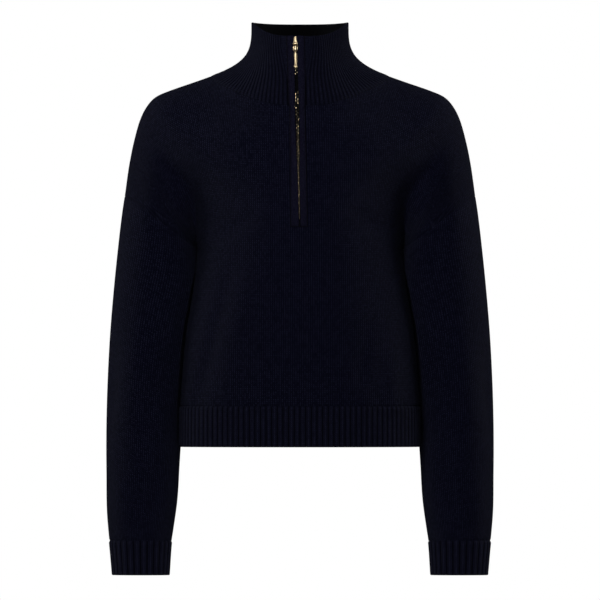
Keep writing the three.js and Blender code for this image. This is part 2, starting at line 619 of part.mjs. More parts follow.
function solid(geometry) {
  const bare = geometry.clone();
  bare.deleteAttribute('normal');
  bare.deleteAttribute('uv');
  const merged = mergeVertices(bare, 1e-4);
  return new wasm.Manifold(new wasm.Mesh({
    numProp: 3,
    vertProperties: new Float32Array(merged.attributes.position.array),
    triVerts: new Uint32Array(merged.index.array),
  }));
}

function geometryOf(manifold) {
  const mesh = manifold.getMesh();
  const geometry = new THREE.BufferGeometry();
  geometry.setAttribute('position', new THREE.BufferAttribute(new Float32Array(mesh.vertProperties), 3));
  geometry.setIndex(new THREE.BufferAttribute(new Uint32Array(mesh.triVerts), 1));
  return geometry;
}

const box = (width, depth, height, x, y, z) => new THREE.BoxGeometry(width, depth, height).translate(x, y, z);
const rod = (radius, length, y, z) => (
  new THREE.CylinderGeometry(radius, radius, length, ROUND).rotateZ(Math.PI / 2).translate(0, y, z));

// A plate with round corners in the XZ plane, its outer face at y
function plate(width, height, corner, thickness, y) {
  const w = width / 2 - corner;
  const h = height / 2 - corner;
  const shape = new THREE.Shape();
  shape.absarc(w, h, corner, 0, Math.PI / 2);
  shape.absarc(-w, h, corner, Math.PI / 2, Math.PI);
  shape.absarc(-w, -h, corner, Math.PI, 1.5 * Math.PI);
  shape.absarc(w, -h, corner, 1.5 * Math.PI, 2 * Math.PI);
  return new THREE.ExtrudeGeometry(shape, { depth: thickness, bevelEnabled: false, curveSegments: 5 })
    .rotateX(Math.PI / 2).translate(0, y + thickness, 0);
}

function sliderGeometry() {
  const outerY = -SLIDER.off - SLIDER.plate;
  let body = solid(plate(SLIDER.width, SLIDER.height, SLIDER.corner, SLIDER.plate, outerY));
  body = body.add(solid(plate(SLIDER.width, SLIDER.height, SLIDER.corner, SLIDER.plate, SLIDER.backOff)));
  const postDepth = SLIDER.backOff + SLIDER.off + SLIDER.plate;
  const postY = (SLIDER.backOff - SLIDER.off) / 2;
  body = body.add(solid(box(SLIDER.post, postDepth, SLIDER.postHeight, 0, postY, SLIDER.postZ)));
  for (const sign of [-1, 1]) {
    const x = sign * (BAR.cheekIn + BAR.cheek / 2);
    const depth = outerY - BAR.y + OVERLAP;
    body = body.add(solid(rod(BAR.cheekRadius, BAR.cheek, BAR.y, BAR.z).translate(x, 0, 0)));
    body = body.add(solid(box(BAR.cheek, depth, 2 * BAR.cheekRadius, x, BAR.y + depth / 2, BAR.z)));
  }
  return geometryOf(body.add(solid(rod(BAR.radius, 2 * BAR.cheekIn + BAR.cheek, BAR.y, BAR.z))));
}

// The pull is made around its bar, which is its own origin
function pullGeometry() {
  const profile = PULL_PROFILE.map(([radius, z]) => new THREE.Vector2(radius, z));
  const stem = new THREE.LatheGeometry(profile, ROUND).rotateX(Math.PI / 2);
  const body = solid(stem).add(solid(rod(PULL.barrel, 2 * PULL.half, 0, 0)));
  return geometryOf(body.subtract(solid(rod(PULL.bore, 2 * PULL.half + BAR.cheek, 0, 0))));
}

// Colours and finishes
const cloth = (color) => new THREE.MeshStandardMaterial({ color, roughness: 0.95, metalness: 0 });
const brass = () => new THREE.MeshStandardMaterial({ color: 0xc9a563, roughness: 0.3, metalness: 1 });
const NAVY = 0x0d0e1a;

const garment = new THREE.Group();
function piece(name, geometry, material, parent = garment) {
  const mesh = new THREE.Mesh(geometry, material);
  mesh.name = name;
  parent.add(mesh);
  return mesh;
}

piece('body_front', bodyFront, cloth(NAVY));
piece('body_back', bodyBack, cloth(NAVY));
piece('hem_front', hemBand(FRONT), cloth(NAVY));
piece('hem_back', hemBand(BACK), cloth(NAVY));
for (const [side, sign] of [['left', -1], ['right', 1]]) {
  piece(`sleeve_${side}`, sleeve(sign), cloth(NAVY));
  piece(`cuff_${side}`, cuff(sign), cloth(NAVY));
  piece(`placket_${side}`, placket(sign), cloth(NAVY));
  piece(`zip_tape_${side}`, zipTape(sign), cloth(NAVY));
}
piece('collar', collar(), cloth(NAVY));
piece('zip_chain', zipChain(), brass());

// The slider's frame lies on the collar, along the zip
const sliderLevel = levelOf(SLIDER.z);
const up = bandPoint(0, 2).sub(bandPoint(0, 1)).normalize();
const right = bandPoint(1, sliderLevel).sub(bandPoint(-1, sliderLevel)).normalize();
const inwards = up.clone().cross(right).normalize();
const sliderFrame = new THREE.Group();
sliderFrame.quaternion.setFromRotationMatrix(
  new THREE.Matrix4().makeBasis(inwards.clone().cross(up), inwards, up));
sliderFrame.position.copy(bandPoint(0, sliderLevel));
garment.add(sliderFrame);
piece('zip_slider', sliderGeometry(), brass(), sliderFrame);
const pull = piece('zip_pull', pullGeometry(), brass(), sliderFrame);
pull.position.set(0, BAR.y, BAR.z);
pull.rotation.x = THREE.MathUtils.degToRad(PULL.lean);

export default garment;
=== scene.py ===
"""Quarter zip sweater in dark navy knit, filled out as it is worn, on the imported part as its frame.

Lengths are millimetres in the front view's axes until a mesh is made: x to the viewer's right,
y away from the viewer, z up, and the origin in the middle of the neck.
"""
import math

import bpy
import numpy as np
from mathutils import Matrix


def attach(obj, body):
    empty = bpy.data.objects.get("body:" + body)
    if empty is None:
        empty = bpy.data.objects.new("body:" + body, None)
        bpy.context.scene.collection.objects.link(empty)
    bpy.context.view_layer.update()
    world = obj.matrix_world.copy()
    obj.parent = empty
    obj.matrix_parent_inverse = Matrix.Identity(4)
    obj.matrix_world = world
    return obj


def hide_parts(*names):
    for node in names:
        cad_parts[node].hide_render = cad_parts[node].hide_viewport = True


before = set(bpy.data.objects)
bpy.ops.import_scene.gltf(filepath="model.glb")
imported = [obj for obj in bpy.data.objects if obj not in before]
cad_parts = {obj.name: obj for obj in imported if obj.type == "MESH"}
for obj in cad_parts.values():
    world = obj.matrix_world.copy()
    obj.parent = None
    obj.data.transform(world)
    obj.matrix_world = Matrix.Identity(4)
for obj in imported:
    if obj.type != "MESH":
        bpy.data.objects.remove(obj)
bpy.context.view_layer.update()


# Camera: level and straight in front, with a long lens, so that the picture is nearly flat. Its
# distance and the width that it sees are metres, and its sensor is millimetres.
DISTANCE, VIEW_WIDTH, SENSOR = 30, 0.78, 36
camera_data = bpy.data.cameras.new("camera")
camera_data.sensor_width = SENSOR
camera_data.lens = SENSOR * DISTANCE / VIEW_WIDTH
camera_data.clip_start = 1
camera_data.clip_end = 100
camera = bpy.data.objects.new("camera", camera_data)
camera.location = (0, -DISTANCE, -0.3)
camera.rotation_euler = (math.radians(90), 0, 0)
bpy.context.collection.objects.link(camera)
scene = bpy.context.scene
scene.camera = camera
scene.view_settings.view_transform = "Standard"


# Studio: a white backdrop, a pale round floor, two tall soft boxes a little behind the sweater's
# sides, a large one in front and a small one above.
world = bpy.data.worlds.new("studio")
scene.world = world
world.use_nodes = True
tree = world.node_tree
ambient = tree.nodes["Background"]
ambient.inputs["Color"].default_value = (0.9, 0.95, 1.0, 1)
ambient.inputs["Strength"].default_value = 0.02
seen = tree.nodes.new("ShaderNodeBackground")
seen.inputs["Color"].default_value = (1, 1, 1, 1)
path = tree.nodes.new("ShaderNodeLightPath")
pick = tree.nodes.new("ShaderNodeMixShader")
tree.links.new(path.outputs["Is Camera Ray"], pick.inputs["Fac"])
tree.links.new(ambient.outputs[0], pick.inputs[1])
tree.links.new(seen.outputs[0], pick.inputs[2])
tree.links.new(pick.outputs[0], tree.nodes["World Output"].inputs["Surface"])


def soft_box(name, place, target, size, power):
    """A rectangular lamp at place (m), turned to target."""
    data = bpy.data.lights.new(name, "AREA")
    data.shape = "RECTANGLE"
    data.size, data.size_y = size
    data.energy = power
    lamp = bpy.data.objects.new(name, data)
    away = np.array(place) - np.array(target)
    lamp.location = place
    lamp.rotation_euler = (math.acos(away[2] / np.linalg.norm(away)), 0,
                           math.atan2(away[0], -away[1]))
    bpy.context.collection.objects.link(lamp)


soft_box("box_left", (-1.5, 0.4, 0.2), (-0.15, 0, -0.25), (0.6, 1.2), 10.5)
soft_box("box_right", (1.5, 0.45, 0.2), (0.15, 0, -0.25), (0.6, 1.2), 12)
soft_box("box_front", (-0.35, -2.5, 0.55), (0, 0, -0.2), (1.2, 1.2), 35)
soft_box("box_top", (0, -1.5, 1.4), (0, 0, -0.1), (0.35, 0.35), 4.5)

bpy.ops.mesh.primitive_circle_add(vertices=96, radius=0.6, fill_type="NGON", location=(0, 0, -1.0))
floor = bpy.context.object
floor.name = "floor"
pale = bpy.data.materials.new("floor")
pale.use_nodes = True
pale.node_tree.nodes["Principled BSDF"].inputs["Base Color"].default_value = (0.8, 0.8, 0.8, 1)
pale.node_tree.nodes["Principled BSDF"].inputs["Roughness"].default_value = 0.8
floor.data.materials.append(pale)


# Front and back panels: plain wool knit, made flat, cut and sewn to each other at the sides and
# shoulders. Their stitches come from one node group that reads the UV map, which counts wales
# across and courses up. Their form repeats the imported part's, so each wall lies on its own solid.
MM = 0.001
WALE, COURSE = 2.9, 2.4
WALES_PER_RIB, COLLAR_RIBS = 3, 108


def math_node(tree, operation, a, b=None, c=None, clamp=False):
    """A Math node of operation over up to three sockets or numbers. Returns its output."""
    node = tree.nodes.new("ShaderNodeMath")
    node.operation = operation
    node.use_clamp = clamp
    for socket, value in zip(node.inputs, (a, b, c)):
        if value is None:
            continue
        if isinstance(value, (int, float)):
            socket.default_value = value
        else:
            tree.links.new(value, socket)
    return node.outputs[0]


def knit_group():
    """Height = sin(pi u) * (0.5 + 0.5 cos(2 pi (v + 1.7 |u - 0.5|))): one bump for each stitch,
    its legs leaning to the wale's middle. Yarn is a random number for each stitch."""
    group = bpy.data.node_groups.new("stocking_stitch", "ShaderNodeTree")
    group.interface.new_socket("Wale", in_out="INPUT", socket_type="NodeSocketFloat")
    group.interface.new_socket("Course", in_out="INPUT", socket_type="NodeSocketFloat")
    group.interface.new_socket("Height", in_out="OUTPUT", socket_type="NodeSocketFloat")
    group.interface.new_socket("Yarn", in_out="OUTPUT", socket_type="NodeSocketFloat")
    given = group.nodes.new("NodeGroupInput")
    result = group.nodes.new("NodeGroupOutput")
    across = math_node(group, "FRACT", given.outputs["Wale"])
    away = math_node(group, "ABSOLUTE", math_node(group, "SUBTRACT", across, 0.5))
    leg = math_node(group, "SINE", math_node(group, "MULTIPLY", across, math.pi))
    phase = math_node(group, "ADD", given.outputs["Course"], math_node(group, "MULTIPLY", away, 1.7))
    turn = math_node(group, "COSINE", math_node(group, "MULTIPLY", phase, 2 * math.pi))
    loop = math_node(group, "MULTIPLY_ADD", turn, 0.5, 0.5)
    group.links.new(math_node(group, "MULTIPLY", leg, loop), result.inputs["Height"])
    cell = group.nodes.new("ShaderNodeCombineXYZ")
    group.links.new(math_node(group, "FLOOR", given.outputs["Wale"]), cell.inputs["X"])
    group.links.new(math_node(group, "ROUND", phase), cell.inputs["Y"])
    chance = group.nodes.new("ShaderNodeTexWhiteNoise")
    group.links.new(cell.outputs[0], chance.inputs["Vector"])
    group.links.new(chance.outputs["Value"], result.inputs["Yarn"])
    return group


stitch = knit_group()


def knit_material(name, dark, light, depth, ribs=False):
    """Wool knit: a bump from the stitches, and colour from dark to light by yarn * height^power: a
    random tone for each stitch, with painted shade in its low parts. Ribs are three wales wide,
    with painted shade in the grooves between them; past a collar's last ribs there is none. The
    piece's own shade attribute paints shade on it, inside the neck and along the bands' edges and
    stitching."""
    material = bpy.data.materials.new(name)
    material.use_nodes = True
    tree = material.node_tree
    shader = tree.nodes["Principled BSDF"]
    shader.inputs["Roughness"].default_value = 0.9
    shader.inputs["Specular IOR Level"].default_value = 0.06
    shader.inputs["Sheen Weight"].default_value = 0.02
    shader.inputs["Sheen Roughness"].default_value = 0.5
    shader.inputs["Sheen Tint"].default_value = (0.45, 0.5, 0.75, 1)
    uv = tree.nodes.new("ShaderNodeUVMap")
    uv.uv_map = "stitches"
    place = tree.nodes.new("ShaderNodeSeparateXYZ")
    tree.links.new(uv.outputs[0], place.inputs[0])
    knit = tree.nodes.new("ShaderNodeGroup")
    knit.node_tree = stitch
    tree.links.new(place.outputs["X"], knit.inputs["Wale"])
    tree.links.new(place.outputs["Y"], knit.inputs["Course"])
    painted_shade_attribute = tree.nodes.new("ShaderNodeAttribute")
    painted_shade_attribute.attribute_name = "shade"
    worn = math_node(tree, "MULTIPLY_ADD", knit.outputs["Yarn"], *((0.5, 0.5) if ribs else (1.1, 0.2)))
    # Painted shade: each stitch's colour darkens towards its low parts by height^power, over a random
    # tone for each stitch.
    shade = math_node(tree, "MULTIPLY", worn, math_node(
        tree, "POWER", knit.outputs["Height"], 0.8 if ribs else 2.0))
    if ribs:
        # Painted shade: the colour darkens towards each groove between ribs, except past a collar's last
        # ribs.
        third = math_node(tree, "FRACT", math_node(tree, "DIVIDE", place.outputs["X"], WALES_PER_RIB))
        off = math_node(tree, "SUBTRACT", 0.5, math_node(
            tree, "ABSOLUTE", math_node(tree, "SUBTRACT", third, 0.5)))
        painted_groove_shade = math_node(tree, "MULTIPLY_ADD", off, 4.5, -0.3, clamp=True)
        plain = math_node(tree, "ADD", math_node(tree, "LESS_THAN", place.outputs["X"], 0.0),
                          math_node(tree, "GREATER_THAN", place.outputs["X"],
                                    WALES_PER_RIB * COLLAR_RIBS))
        shade = math_node(tree, "MULTIPLY", shade, math_node(tree, "MAXIMUM", painted_groove_shade, plain))
    mix = tree.nodes.new("ShaderNodeMixRGB")
    mix.inputs["Color1"].default_value = (*dark, 1)
    mix.inputs["Color2"].default_value = (*light, 1)
    tree.links.new(shade, mix.inputs["Fac"])
    # Painted shade: the shade attribute mixes the colour towards near black.
    painted_shade_mix = tree.nodes.new("ShaderNodeMixRGB")
    painted_shade_mix.inputs["Color2"].default_value = (0.0002, 0.0002, 0.0005, 1)
    tree.links.new(painted_shade_attribute.outputs["Fac"], painted_shade_mix.inputs["Fac"])
    tree.links.new(mix.outputs[0], painted_shade_mix.inputs["Color1"])
    tree.links.new(painted_shade_mix.outputs[0], shader.inputs["Base Color"])
    bump = tree.nodes.new("ShaderNodeBump")
    bump.inputs["Distance"].default_value = depth * MM
    tree.links.new(knit.outputs["Height"], bump.inputs["Height"])
    tree.links.new(bump.outputs[0], shader.inputs["Normal"])
    return material


knit_navy = knit_material("knit_navy", (0.0003, 0.0005, 0.0056), (0.020, 0.021, 0.048), 0.5)

# Heights of the hem seam, underarm, armhole's top, front neck seam and neck's side, then half
# widths at three of them.
HEM_SEAM, UNDERARM, ARMHOLE_TOP, COLLAR_SEAM, NECK_SIDE = -438, -234, -165, -48, -9.5
UNDERARM_HALF, ARMHOLE_HALF, NECK_HALF = 134, 228, 117
# The zip: its slit's half width and lower end, the bands' half width, the rim's height at the
# zip, and x of the zip's middle at its foot and top.
SLIT, SLIT_END, BAND_HALF, RIM_FRONT = 2.4, -197.6, 12.5, 42.5
ZIP_FOOT_X, ZIP_TOP_X = -0.5, -5.9
# The wall, how far a piece laps over a seam's plane, and the power that squares a section.
WALL, SEAM_LAP, ROUNDNESS = 2.2, 0.12, 2.15
FRONT, BACK = -1, 1
UPWARD, REARWARD = np.array([0, 0, 1.0]), np.array([0, 1.0, 0])


def lerp(a, b, t):
    """a + (b - a) t."""
    return a + (b - a) * t


def smoothstep(value, low, high):
    """0 below low, 1 above high, and 3t^2 - 2t^3 between."""
    t = np.clip((value - low) / (high - low), 0, 1)
    return t * t * (3 - 2 * t)


def table(names, *rows):
    """Columns by name, from rows of numbers."""
    return dict(zip(names.split(), np.array(rows, float).T))


def along(tab, at, column):
    """A smooth cubic through the rows of a table, which run from high to low z."""
    z, v = tab["z"], tab[column]
    slope = np.diff(v) / np.diff(z)
    tangent = np.concatenate([slope[:1], (slope[:-1] + slope[1:]) / 2, slope[-1:]])
    at = np.clip(at, z[-1], z[0])
    i = np.clip(np.searchsorted(-z, -at, side="right") - 1, 0, len(z) - 2)
    span = z[i + 1] - z[i]
    t = (at - z[i]) / span
    start = (1 + 2 * t) * (1 - t) ** 2 * v[i] + t * (1 - t) ** 2 * span * tangent[i]
    end = t * t * (3 - 2 * t) * v[i + 1] + t * t * (t - 1) * span * tangent[i + 1]
    return start + end


def spline(points, count=1200):
    """Centripetal Catmull-Rom curve through points, as count points at equal lengths along it."""
    p = np.array(points, float)
    p = np.vstack([2 * p[0] - p[1], p, 2 * p[-1] - p[-2]])
    gap = np.sqrt(np.linalg.norm(np.diff(p, axis=0), axis=1))
    t = np.linspace(0, 1, 60)[:, None]
    pieces = []
    for a, b, c, d, e, f, g in zip(p[:-3], p[1:-2], p[2:-1], p[3:], gap[:-2], gap[1:-1], gap[2:]):
        m1 = ((b - a) / e - (c - a) / (e + f) + (c - b) / f) * f
        m2 = ((c - b) / f - (d - b) / (f + g) + (d - c) / g) * f
        pieces.append(b + m1 * t + (3 * (c - b) - 2 * m1 - m2) * t ** 2
                      + (2 * (b - c) + m1 + m2) * t ** 3)
    line = np.vstack(pieces)
    arc = np.concatenate([[0], np.cumsum(np.linalg.norm(np.diff(line, axis=0), axis=1))])
    at = np.linspace(0, arc[-1], count)
    return np.stack([np.interp(at, arc, line[:, k]) for k in range(line.shape[1])], 1)


# The whole outline from the front: half its width at each height
OUTLINE = table(
    "z half", (-9.5, 117), (-13, 126.7), (-18.2, 141.7), (-23.4, 157), (-28.6, 171.5),
    (-33.8, 183.9), (-39, 191.5), (-49.4, 200), (-65, 207.8), (-93.6, 216), (-124.8, 222.3),
    (-165, 228), (-187.2, 231.3), (-234, 236.9), (-296, 243.2), (-359, 248.2), (-421, 251.2),
    (-468, 252.2), (-530, 251.9), (-577, 250.9), (-608, 248.6), (-624, 247), (-658, 244))
# Level sections of the body: half width, y of the front and back, and y of the side seam
BODY = table(
    "z half front back side", (0, 224, -68, 72, 4), (-12, 222, -72, 78, 6), (-48, 215, -84, 90, 12),
    (-80, 205, -101, 96, 15), (-116, 185, -114, 98, 16), (-135, 168, -119, 98, 16),
    (-151, 156, -121, 97, 16), (-166, 148, -123, 96, 16), (-187, 142, -124, 94, 15),
    (-204, 138.5, -123, 92, 14), (-234, 134, -121, 89, 12), (-260, 136, -119, 87, 8),
    (-309, 142.5, -116, 86, 3), (-334, 147, -113, 88, 1), (-377, 151.6, -108, 92, 0),
    (-409, 154, -104, 96, 0), (-438, 156, -100, 98, 0), (-491, 157, -98, 97, 0))
# The upper arm inside the panels: its middle, half width and depth, and how deep its crease is
ARM = table(
    "z middle width depth crease", (0, 110, 60, 60, 0), (-50, 150, 52, 58, 0), (-90, 165, 50, 57, 0.05),
    (-125, 172, 50, 56, 0.25), (-165, 179, 48, 55, 0.6), (-200, 183, 50, 54, 0.92),
    (-234, 185.5, 51.5, 54, 1))
# The line over the shoulder, from the neck's side to the armhole's top
ridge_rows = OUTLINE["z"] >= ARMHOLE_TOP
RIDGE = spline(np.stack([OUTLINE["half"][ridge_rows], OUTLINE["z"][ridge_rows]], 1))


def ridge_distance(x, z):
    """Distance in the front view from (x, z) to the line over the shoulder."""
    points = RIDGE[::12]
    a, b = points[:-1], points[1:]
    d = b - a
    at = np.stack([x, z], -1)[..., None, :]
    t = np.clip(((at - a) * d).sum(-1) / (d * d).sum(-1), 0, 1)
    return np.linalg.norm(at - a - t[..., None] * d, axis=-1).min(-1)


def reach(x, z, face):
    """How far the cloth stands off the side seam: depth * (1 - across^2.15)^(1/2.15), joined to
    the upper arm by the fourth root of the sum of fourth powers, and falling to 0 at the
    shoulder's line as a quarter circle does."""
    x = np.abs(x)
    side = along(BODY, z, "side")
    depth = side - along(BODY, z, "front") if face == FRONT else along(BODY, z, "back") - side
    across = np.clip(x / along(BODY, z, "half"), 0, 1)
    body = depth * (1 - across ** ROUNDNESS) ** lerp(
        1 / ROUNDNESS, 0.62, smoothstep(z, UNDERARM, UNDERARM + 40))
    crease = along(ARM, z, "crease")
    inner = np.clip((along(ARM, z, "middle") - x) / along(ARM, z, "width"), 0, 1)
    arm = along(ARM, z, "depth") * (1 - crease + crease * np.sqrt(1 - inner ** 2))
    merged = (body ** 4 + arm ** 4) ** 0.25
    near = np.clip(ridge_distance(x, z) / lerp(100, 50, smoothstep(x, NECK_HALF, 200)), 0, 1)
    return np.where(z <= UNDERARM, body, merged * np.sqrt(1 - (1 - near) ** 2))


def fold_rise(folds, x, z):
    """Sum of soft ridges and troughs along lines (x0, z0)-(x1, z1): rise * swell * exp(-(d/width)^2)."""
    rise = np.zeros_like(x)
    for x0, z0, x1, z1, width, height in zip(*folds.values()):
        dx, dz = x1 - x0, z1 - z0
        t = np.clip(((x - x0) * dx + (z - z0) * dz) / (dx * dx + dz * dz), 0, 1)
        away = np.hypot(x - x0 - t * dx, z - z0 - t * dz)
        rise += height * np.sin(math.pi * lerp(0.086, 0.72, t)) * np.exp(-(away / width) ** 2)
    return rise


FRONT_FOLDS = table(
    "x0 z0 x1 z1 width rise",
    (-88, -255, -134, -437, 10, -4), (-70, -268, -104, -432, 13, 1.5), (121, -358, 127, -438, 13, 4),
    (60, -392, 84, -438, 14, 2.5), (88, -330, 74, -432, 9, -1.8), (-118, -230, -70, -196, 10, -2.5),
    (116, -226, 74, -186, 10, -2.5), (-148, -250, -120, -262, 7, -2), (148, -256, 118, -270, 7, -2))
BACK_FOLDS = table(
    "x0 z0 x1 z1 width rise",
    (-112, -330, -132, -438, 12, 4.5), (106, -345, 130, -438, 11, 4), (-70, -300, 20, -318, 16, -3),
    (-122, -215, -84, -160, 11, -3), (120, -212, 88, -150, 11, -3), (-140, -250, -96, -272, 8, -2.2),
    (138, -254, 98, -268, 8, -2.2), (-40, -352, 52, -368, 14, -1.6), (-72, -380, -64, -436, 10, 1.8),
    (58, -372, 70, -436, 11, 1.8))


def body_point(x, z, face, on_ridge=False):
    """Point of the outer face: y = side seam -+ (reach + folds), folds fading out at the sides."""
    x, z = np.broadcast_arrays(np.asarray(x, float), np.asarray(z, float))
    edge = np.abs(x) / along(BODY, z, "half")
    fold = fold_rise(FRONT_FOLDS if face == FRONT else BACK_FOLDS, x, z) * (1 - smoothstep(edge, 0.93, 1))
    off = np.where(on_ridge, 0, reach(x, z, face) + fold)
    return np.stack([x, along(BODY, z, "side") + face * (off - SEAM_LAP), z], -1)


def section_x(z, share, face):
    """x where a level section at each height z has gone each share of its length to the side."""
    x = along(BODY, z, "half")[:, None] * np.sin(np.linspace(0, math.pi / 2, 161))
    y = reach(x, np.minimum(z, UNDERARM)[:, None] + 0 * x, face)
    arc = np.cumsum(np.hypot(np.diff(x, axis=1), np.diff(y, axis=1)), 1)
    arc = np.hstack([np.zeros((len(z), 1)), arc])
    return np.array([np.interp(share * a[-1], a, row) for a, row in zip(arc, x)])


def zip_x(z):
    """The zip's middle: it leans to the viewer's left towards the top."""
    return lerp(ZIP_FOOT_X, ZIP_TOP_X, np.clip((z - SLIT_END) / (RIM_FRONT - SLIT_END), 0, 1))


def neck_front_z(x):
    """Height of the front neck seam near the zip: it rises with the square of x."""
    return lerp(COLLAR_SEAM, COLLAR_SEAM + 1.2, np.clip(np.abs(x) / 20, 0, 1) ** 2)


def unit(v):
    """v over its own length."""
    return v / np.maximum(np.linalg.norm(v, axis=-1, keepdims=True), 1e-12)


def grid_normals(points, closed=False, facing=1):
    """Normals of a grid (rows up, columns across): across x up, from the neighbours each way."""
    if closed:
        across = np.roll(points, -1, 1) - np.roll(points, 1, 1)
    else:
        across = np.gradient(points, axis=1)
    return unit(np.cross(across, np.gradient(points, axis=0))) * facing


def lengths(points, axis):
    """Length along the rows (axis 1) or up the columns (axis 0) from the first point of each."""
    step = np.linalg.norm(np.diff(points, axis=axis), axis=-1)
    return np.insert(np.cumsum(step, axis=axis), 0, 0, axis=axis)


def in_plane(normal, seam):
    """normal without its part along seam, so that the walls on both sides of a seam end alike."""
    return unit(normal - (normal * seam).sum(-1, keepdims=True) * seam)


def armhole_across(sign):
    """The direction across the armhole seam, which is a straight line in the front view."""
    return unit(np.array([sign * (ARMHOLE_TOP - UNDERARM), 0, UNDERARM_HALF - ARMHOLE_HALF]))


def cloth(name, outer, inner, u, v, material, closed=False, facing=1, keep=None,
          round_ends=(False, False), shade=(0.0, 0.0)):
    """A closed wall between two grids of points. u and v count stitches, and with closed columns
    u has one column more. keep masks the cells, round_ends turns the first and last row over in
    a half circle, and shade says how much painted shade darkens the outer and inner sides."""
    rows, count = outer.shape[:2]
    cells = count if closed else count - 1
    kept = np.ones((rows - 1, cells), bool) if keep is None else keep
    size = rows * count
    index = np.arange(size).reshape(rows, count)
    i, j = np.nonzero(kept)
    n = (j + 1) % count
    ring = np.stack([index[i, j], index[i, n], index[i + 1, n], index[i + 1, j]], 1)
    ring_uv = np.stack([np.stack([g[i, j], g[i, j + 1], g[i + 1, j + 1], g[i + 1, j]], 1)
                        for g in (u, v)], -1)
    quads = [ring, ring[:, ::-1] + size]
    uvs = [ring_uv, ring_uv[:, ::-1]]
    points = [outer.reshape(-1, 3), inner.reshape(-1, 3)]
    total = 2 * size
    padded = np.pad(kept, 1)
    if closed:
        padded[1:-1, 0], padded[1:-1, -1] = kept[:, -1], kept[:, 0]
    beside = [padded[:-2, 1:-1], padded[1:-1, 2:], padded[2:, 1:-1], padded[1:-1, :-2]]
    for side in range(4):
        a, b = ring[:, side], ring[:, (side + 1) % 4]
        open_side = kept[i, j] & ~beside[side][i, j]
        a, b = a[open_side], b[open_side]
        uv_a, uv_b = ring_uv[open_side, side], ring_uv[open_side, (side + 1) % 4]
        if side in (0, 2) and round_ends[side // 2]:
            end, before = (0, 1) if side == 0 else (rows - 1, rows - 2)
            middle = (outer[end] + inner[end]) / 2
            half = (outer[end] - inner[end]) / 2
            away = unit(outer[end] - outer[before]) * WALL / 2
            ids = [index[end]]
            for angle in np.radians([36, 72, 108, 144]):
                points.append(middle + math.cos(angle) * half + math.sin(angle) * away)
                ids.append(np.arange(total, total + count))
                total += count
            ids.append(index[end] + size)
            place = {0: 0, 2: (rows - 1) * count}[side]
            for first, second in zip(ids[:-1], ids[1:]):
                quads.append(np.stack([first[b - place], first[a - place],
                                       second[a - place], second[b - place]], 1))
                uvs.append(np.stack([uv_b, uv_a, uv_a, uv_b], 1))
            if not closed:
                for column in (0, -1):
                    caps = ((0, 5, 4, 1), (1, 4, 3, 2))
                    loop = np.array([[ids[k][column] for k in cap] for cap in caps])
                    quads.append(loop[:, ::-1] if (column == 0) == (side == 2) else loop)
                    uvs.append(np.zeros((2, 4, 2)))
        else:
            quads.append(np.stack([b, a, a + size, b + size], 1))
            uvs.append(np.stack([uv_b, uv_a, uv_a, uv_b], 1))
    faces = np.vstack(quads)
    corner_uv = np.vstack(uvs)
    if facing < 0:
        faces, corner_uv = faces[:, ::-1], corner_uv[:, ::-1]
    mesh = bpy.data.meshes.new(name)
    mesh.vertices.add(total)
    mesh.vertices.foreach_set("co", (np.vstack(points) * MM).ravel())
    mesh.loops.add(faces.size)
    mesh.loops.foreach_set("vertex_index", faces.ravel())
    mesh.polygons.add(len(faces))
    mesh.polygons.foreach_set("loop_start", np.arange(0, faces.size, 4))
    mesh.update(calc_edges=True)
    layer = mesh.uv_layers.new(name="stitches")
    layer.data.foreach_set("uv", corner_uv.reshape(-1))
    # Painted shade for each point, read by the material's shade attribute.
    dark = np.zeros(total)
    dark[:size] = np.broadcast_to(shade[0], (rows, count)).ravel()
    dark[size:2 * size] = shade[1]
    mesh.attributes.new("shade", "FLOAT", "POINT").data.foreach_set("value", dark)
    mesh.validate()
    mesh.shade_smooth()
    mesh.set_sharp_from_angle(angle=math.radians(55))
    mesh.materials.append(material)
    obj = bpy.data.objects.new(name + "_cloth", mesh)
    bpy.context.collection.objects.link(obj)
    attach(obj, "garment")
    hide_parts(name)
    return obj


def dip(distance):
    """How far a seam pulls the cloth in: 0.8 mm at the seam, gone 3 mm away from it."""
    return 0.8 * np.exp(-(distance / 1.5) ** 2)


def neck_normal(p):
    """How the wall stands along the neck seam, on the panels and on the collar: outwards from
    the neck's middle, and turned up more and more towards its sides."""
    side = smoothstep(np.abs(p[..., 0]) / NECK_HALF, 0.35, 1)
    rise = lerp(np.where(p[..., 1] < 0, 0.3, 0.5), 2.5, side)
    back = (p[..., 1] - along(BODY, NECK_SIDE, "side")) / 80
    flat = unit(np.stack([p[..., 0] / NECK_HALF, back, 0 * side], -1))
    flat[..., 2] = rise
    return unit(flat)


# Columns of a panel run from the hem seam to the neck seam or the shoulder. Rows crowd near seams.
NECK_FRONT = spline([(0, -48), (20, -46.8), (38, -45), (56, -40), (74, -33.5), (88, -27), (103, -20),
                     (112, -14.5), (117, -9.5)])
NECK_BACK = spline([(0, -12), (30, -12), (60, -11.5), (90, -10.5), (117, -9.5)])
LOW_ROWS = lerp(HEM_SEAM, UNDERARM, np.linspace(0, 1, 80) ** 1.3)
UP_ROWS = 1 - (1 - np.linspace(0, 1, 111)[1:]) ** 2


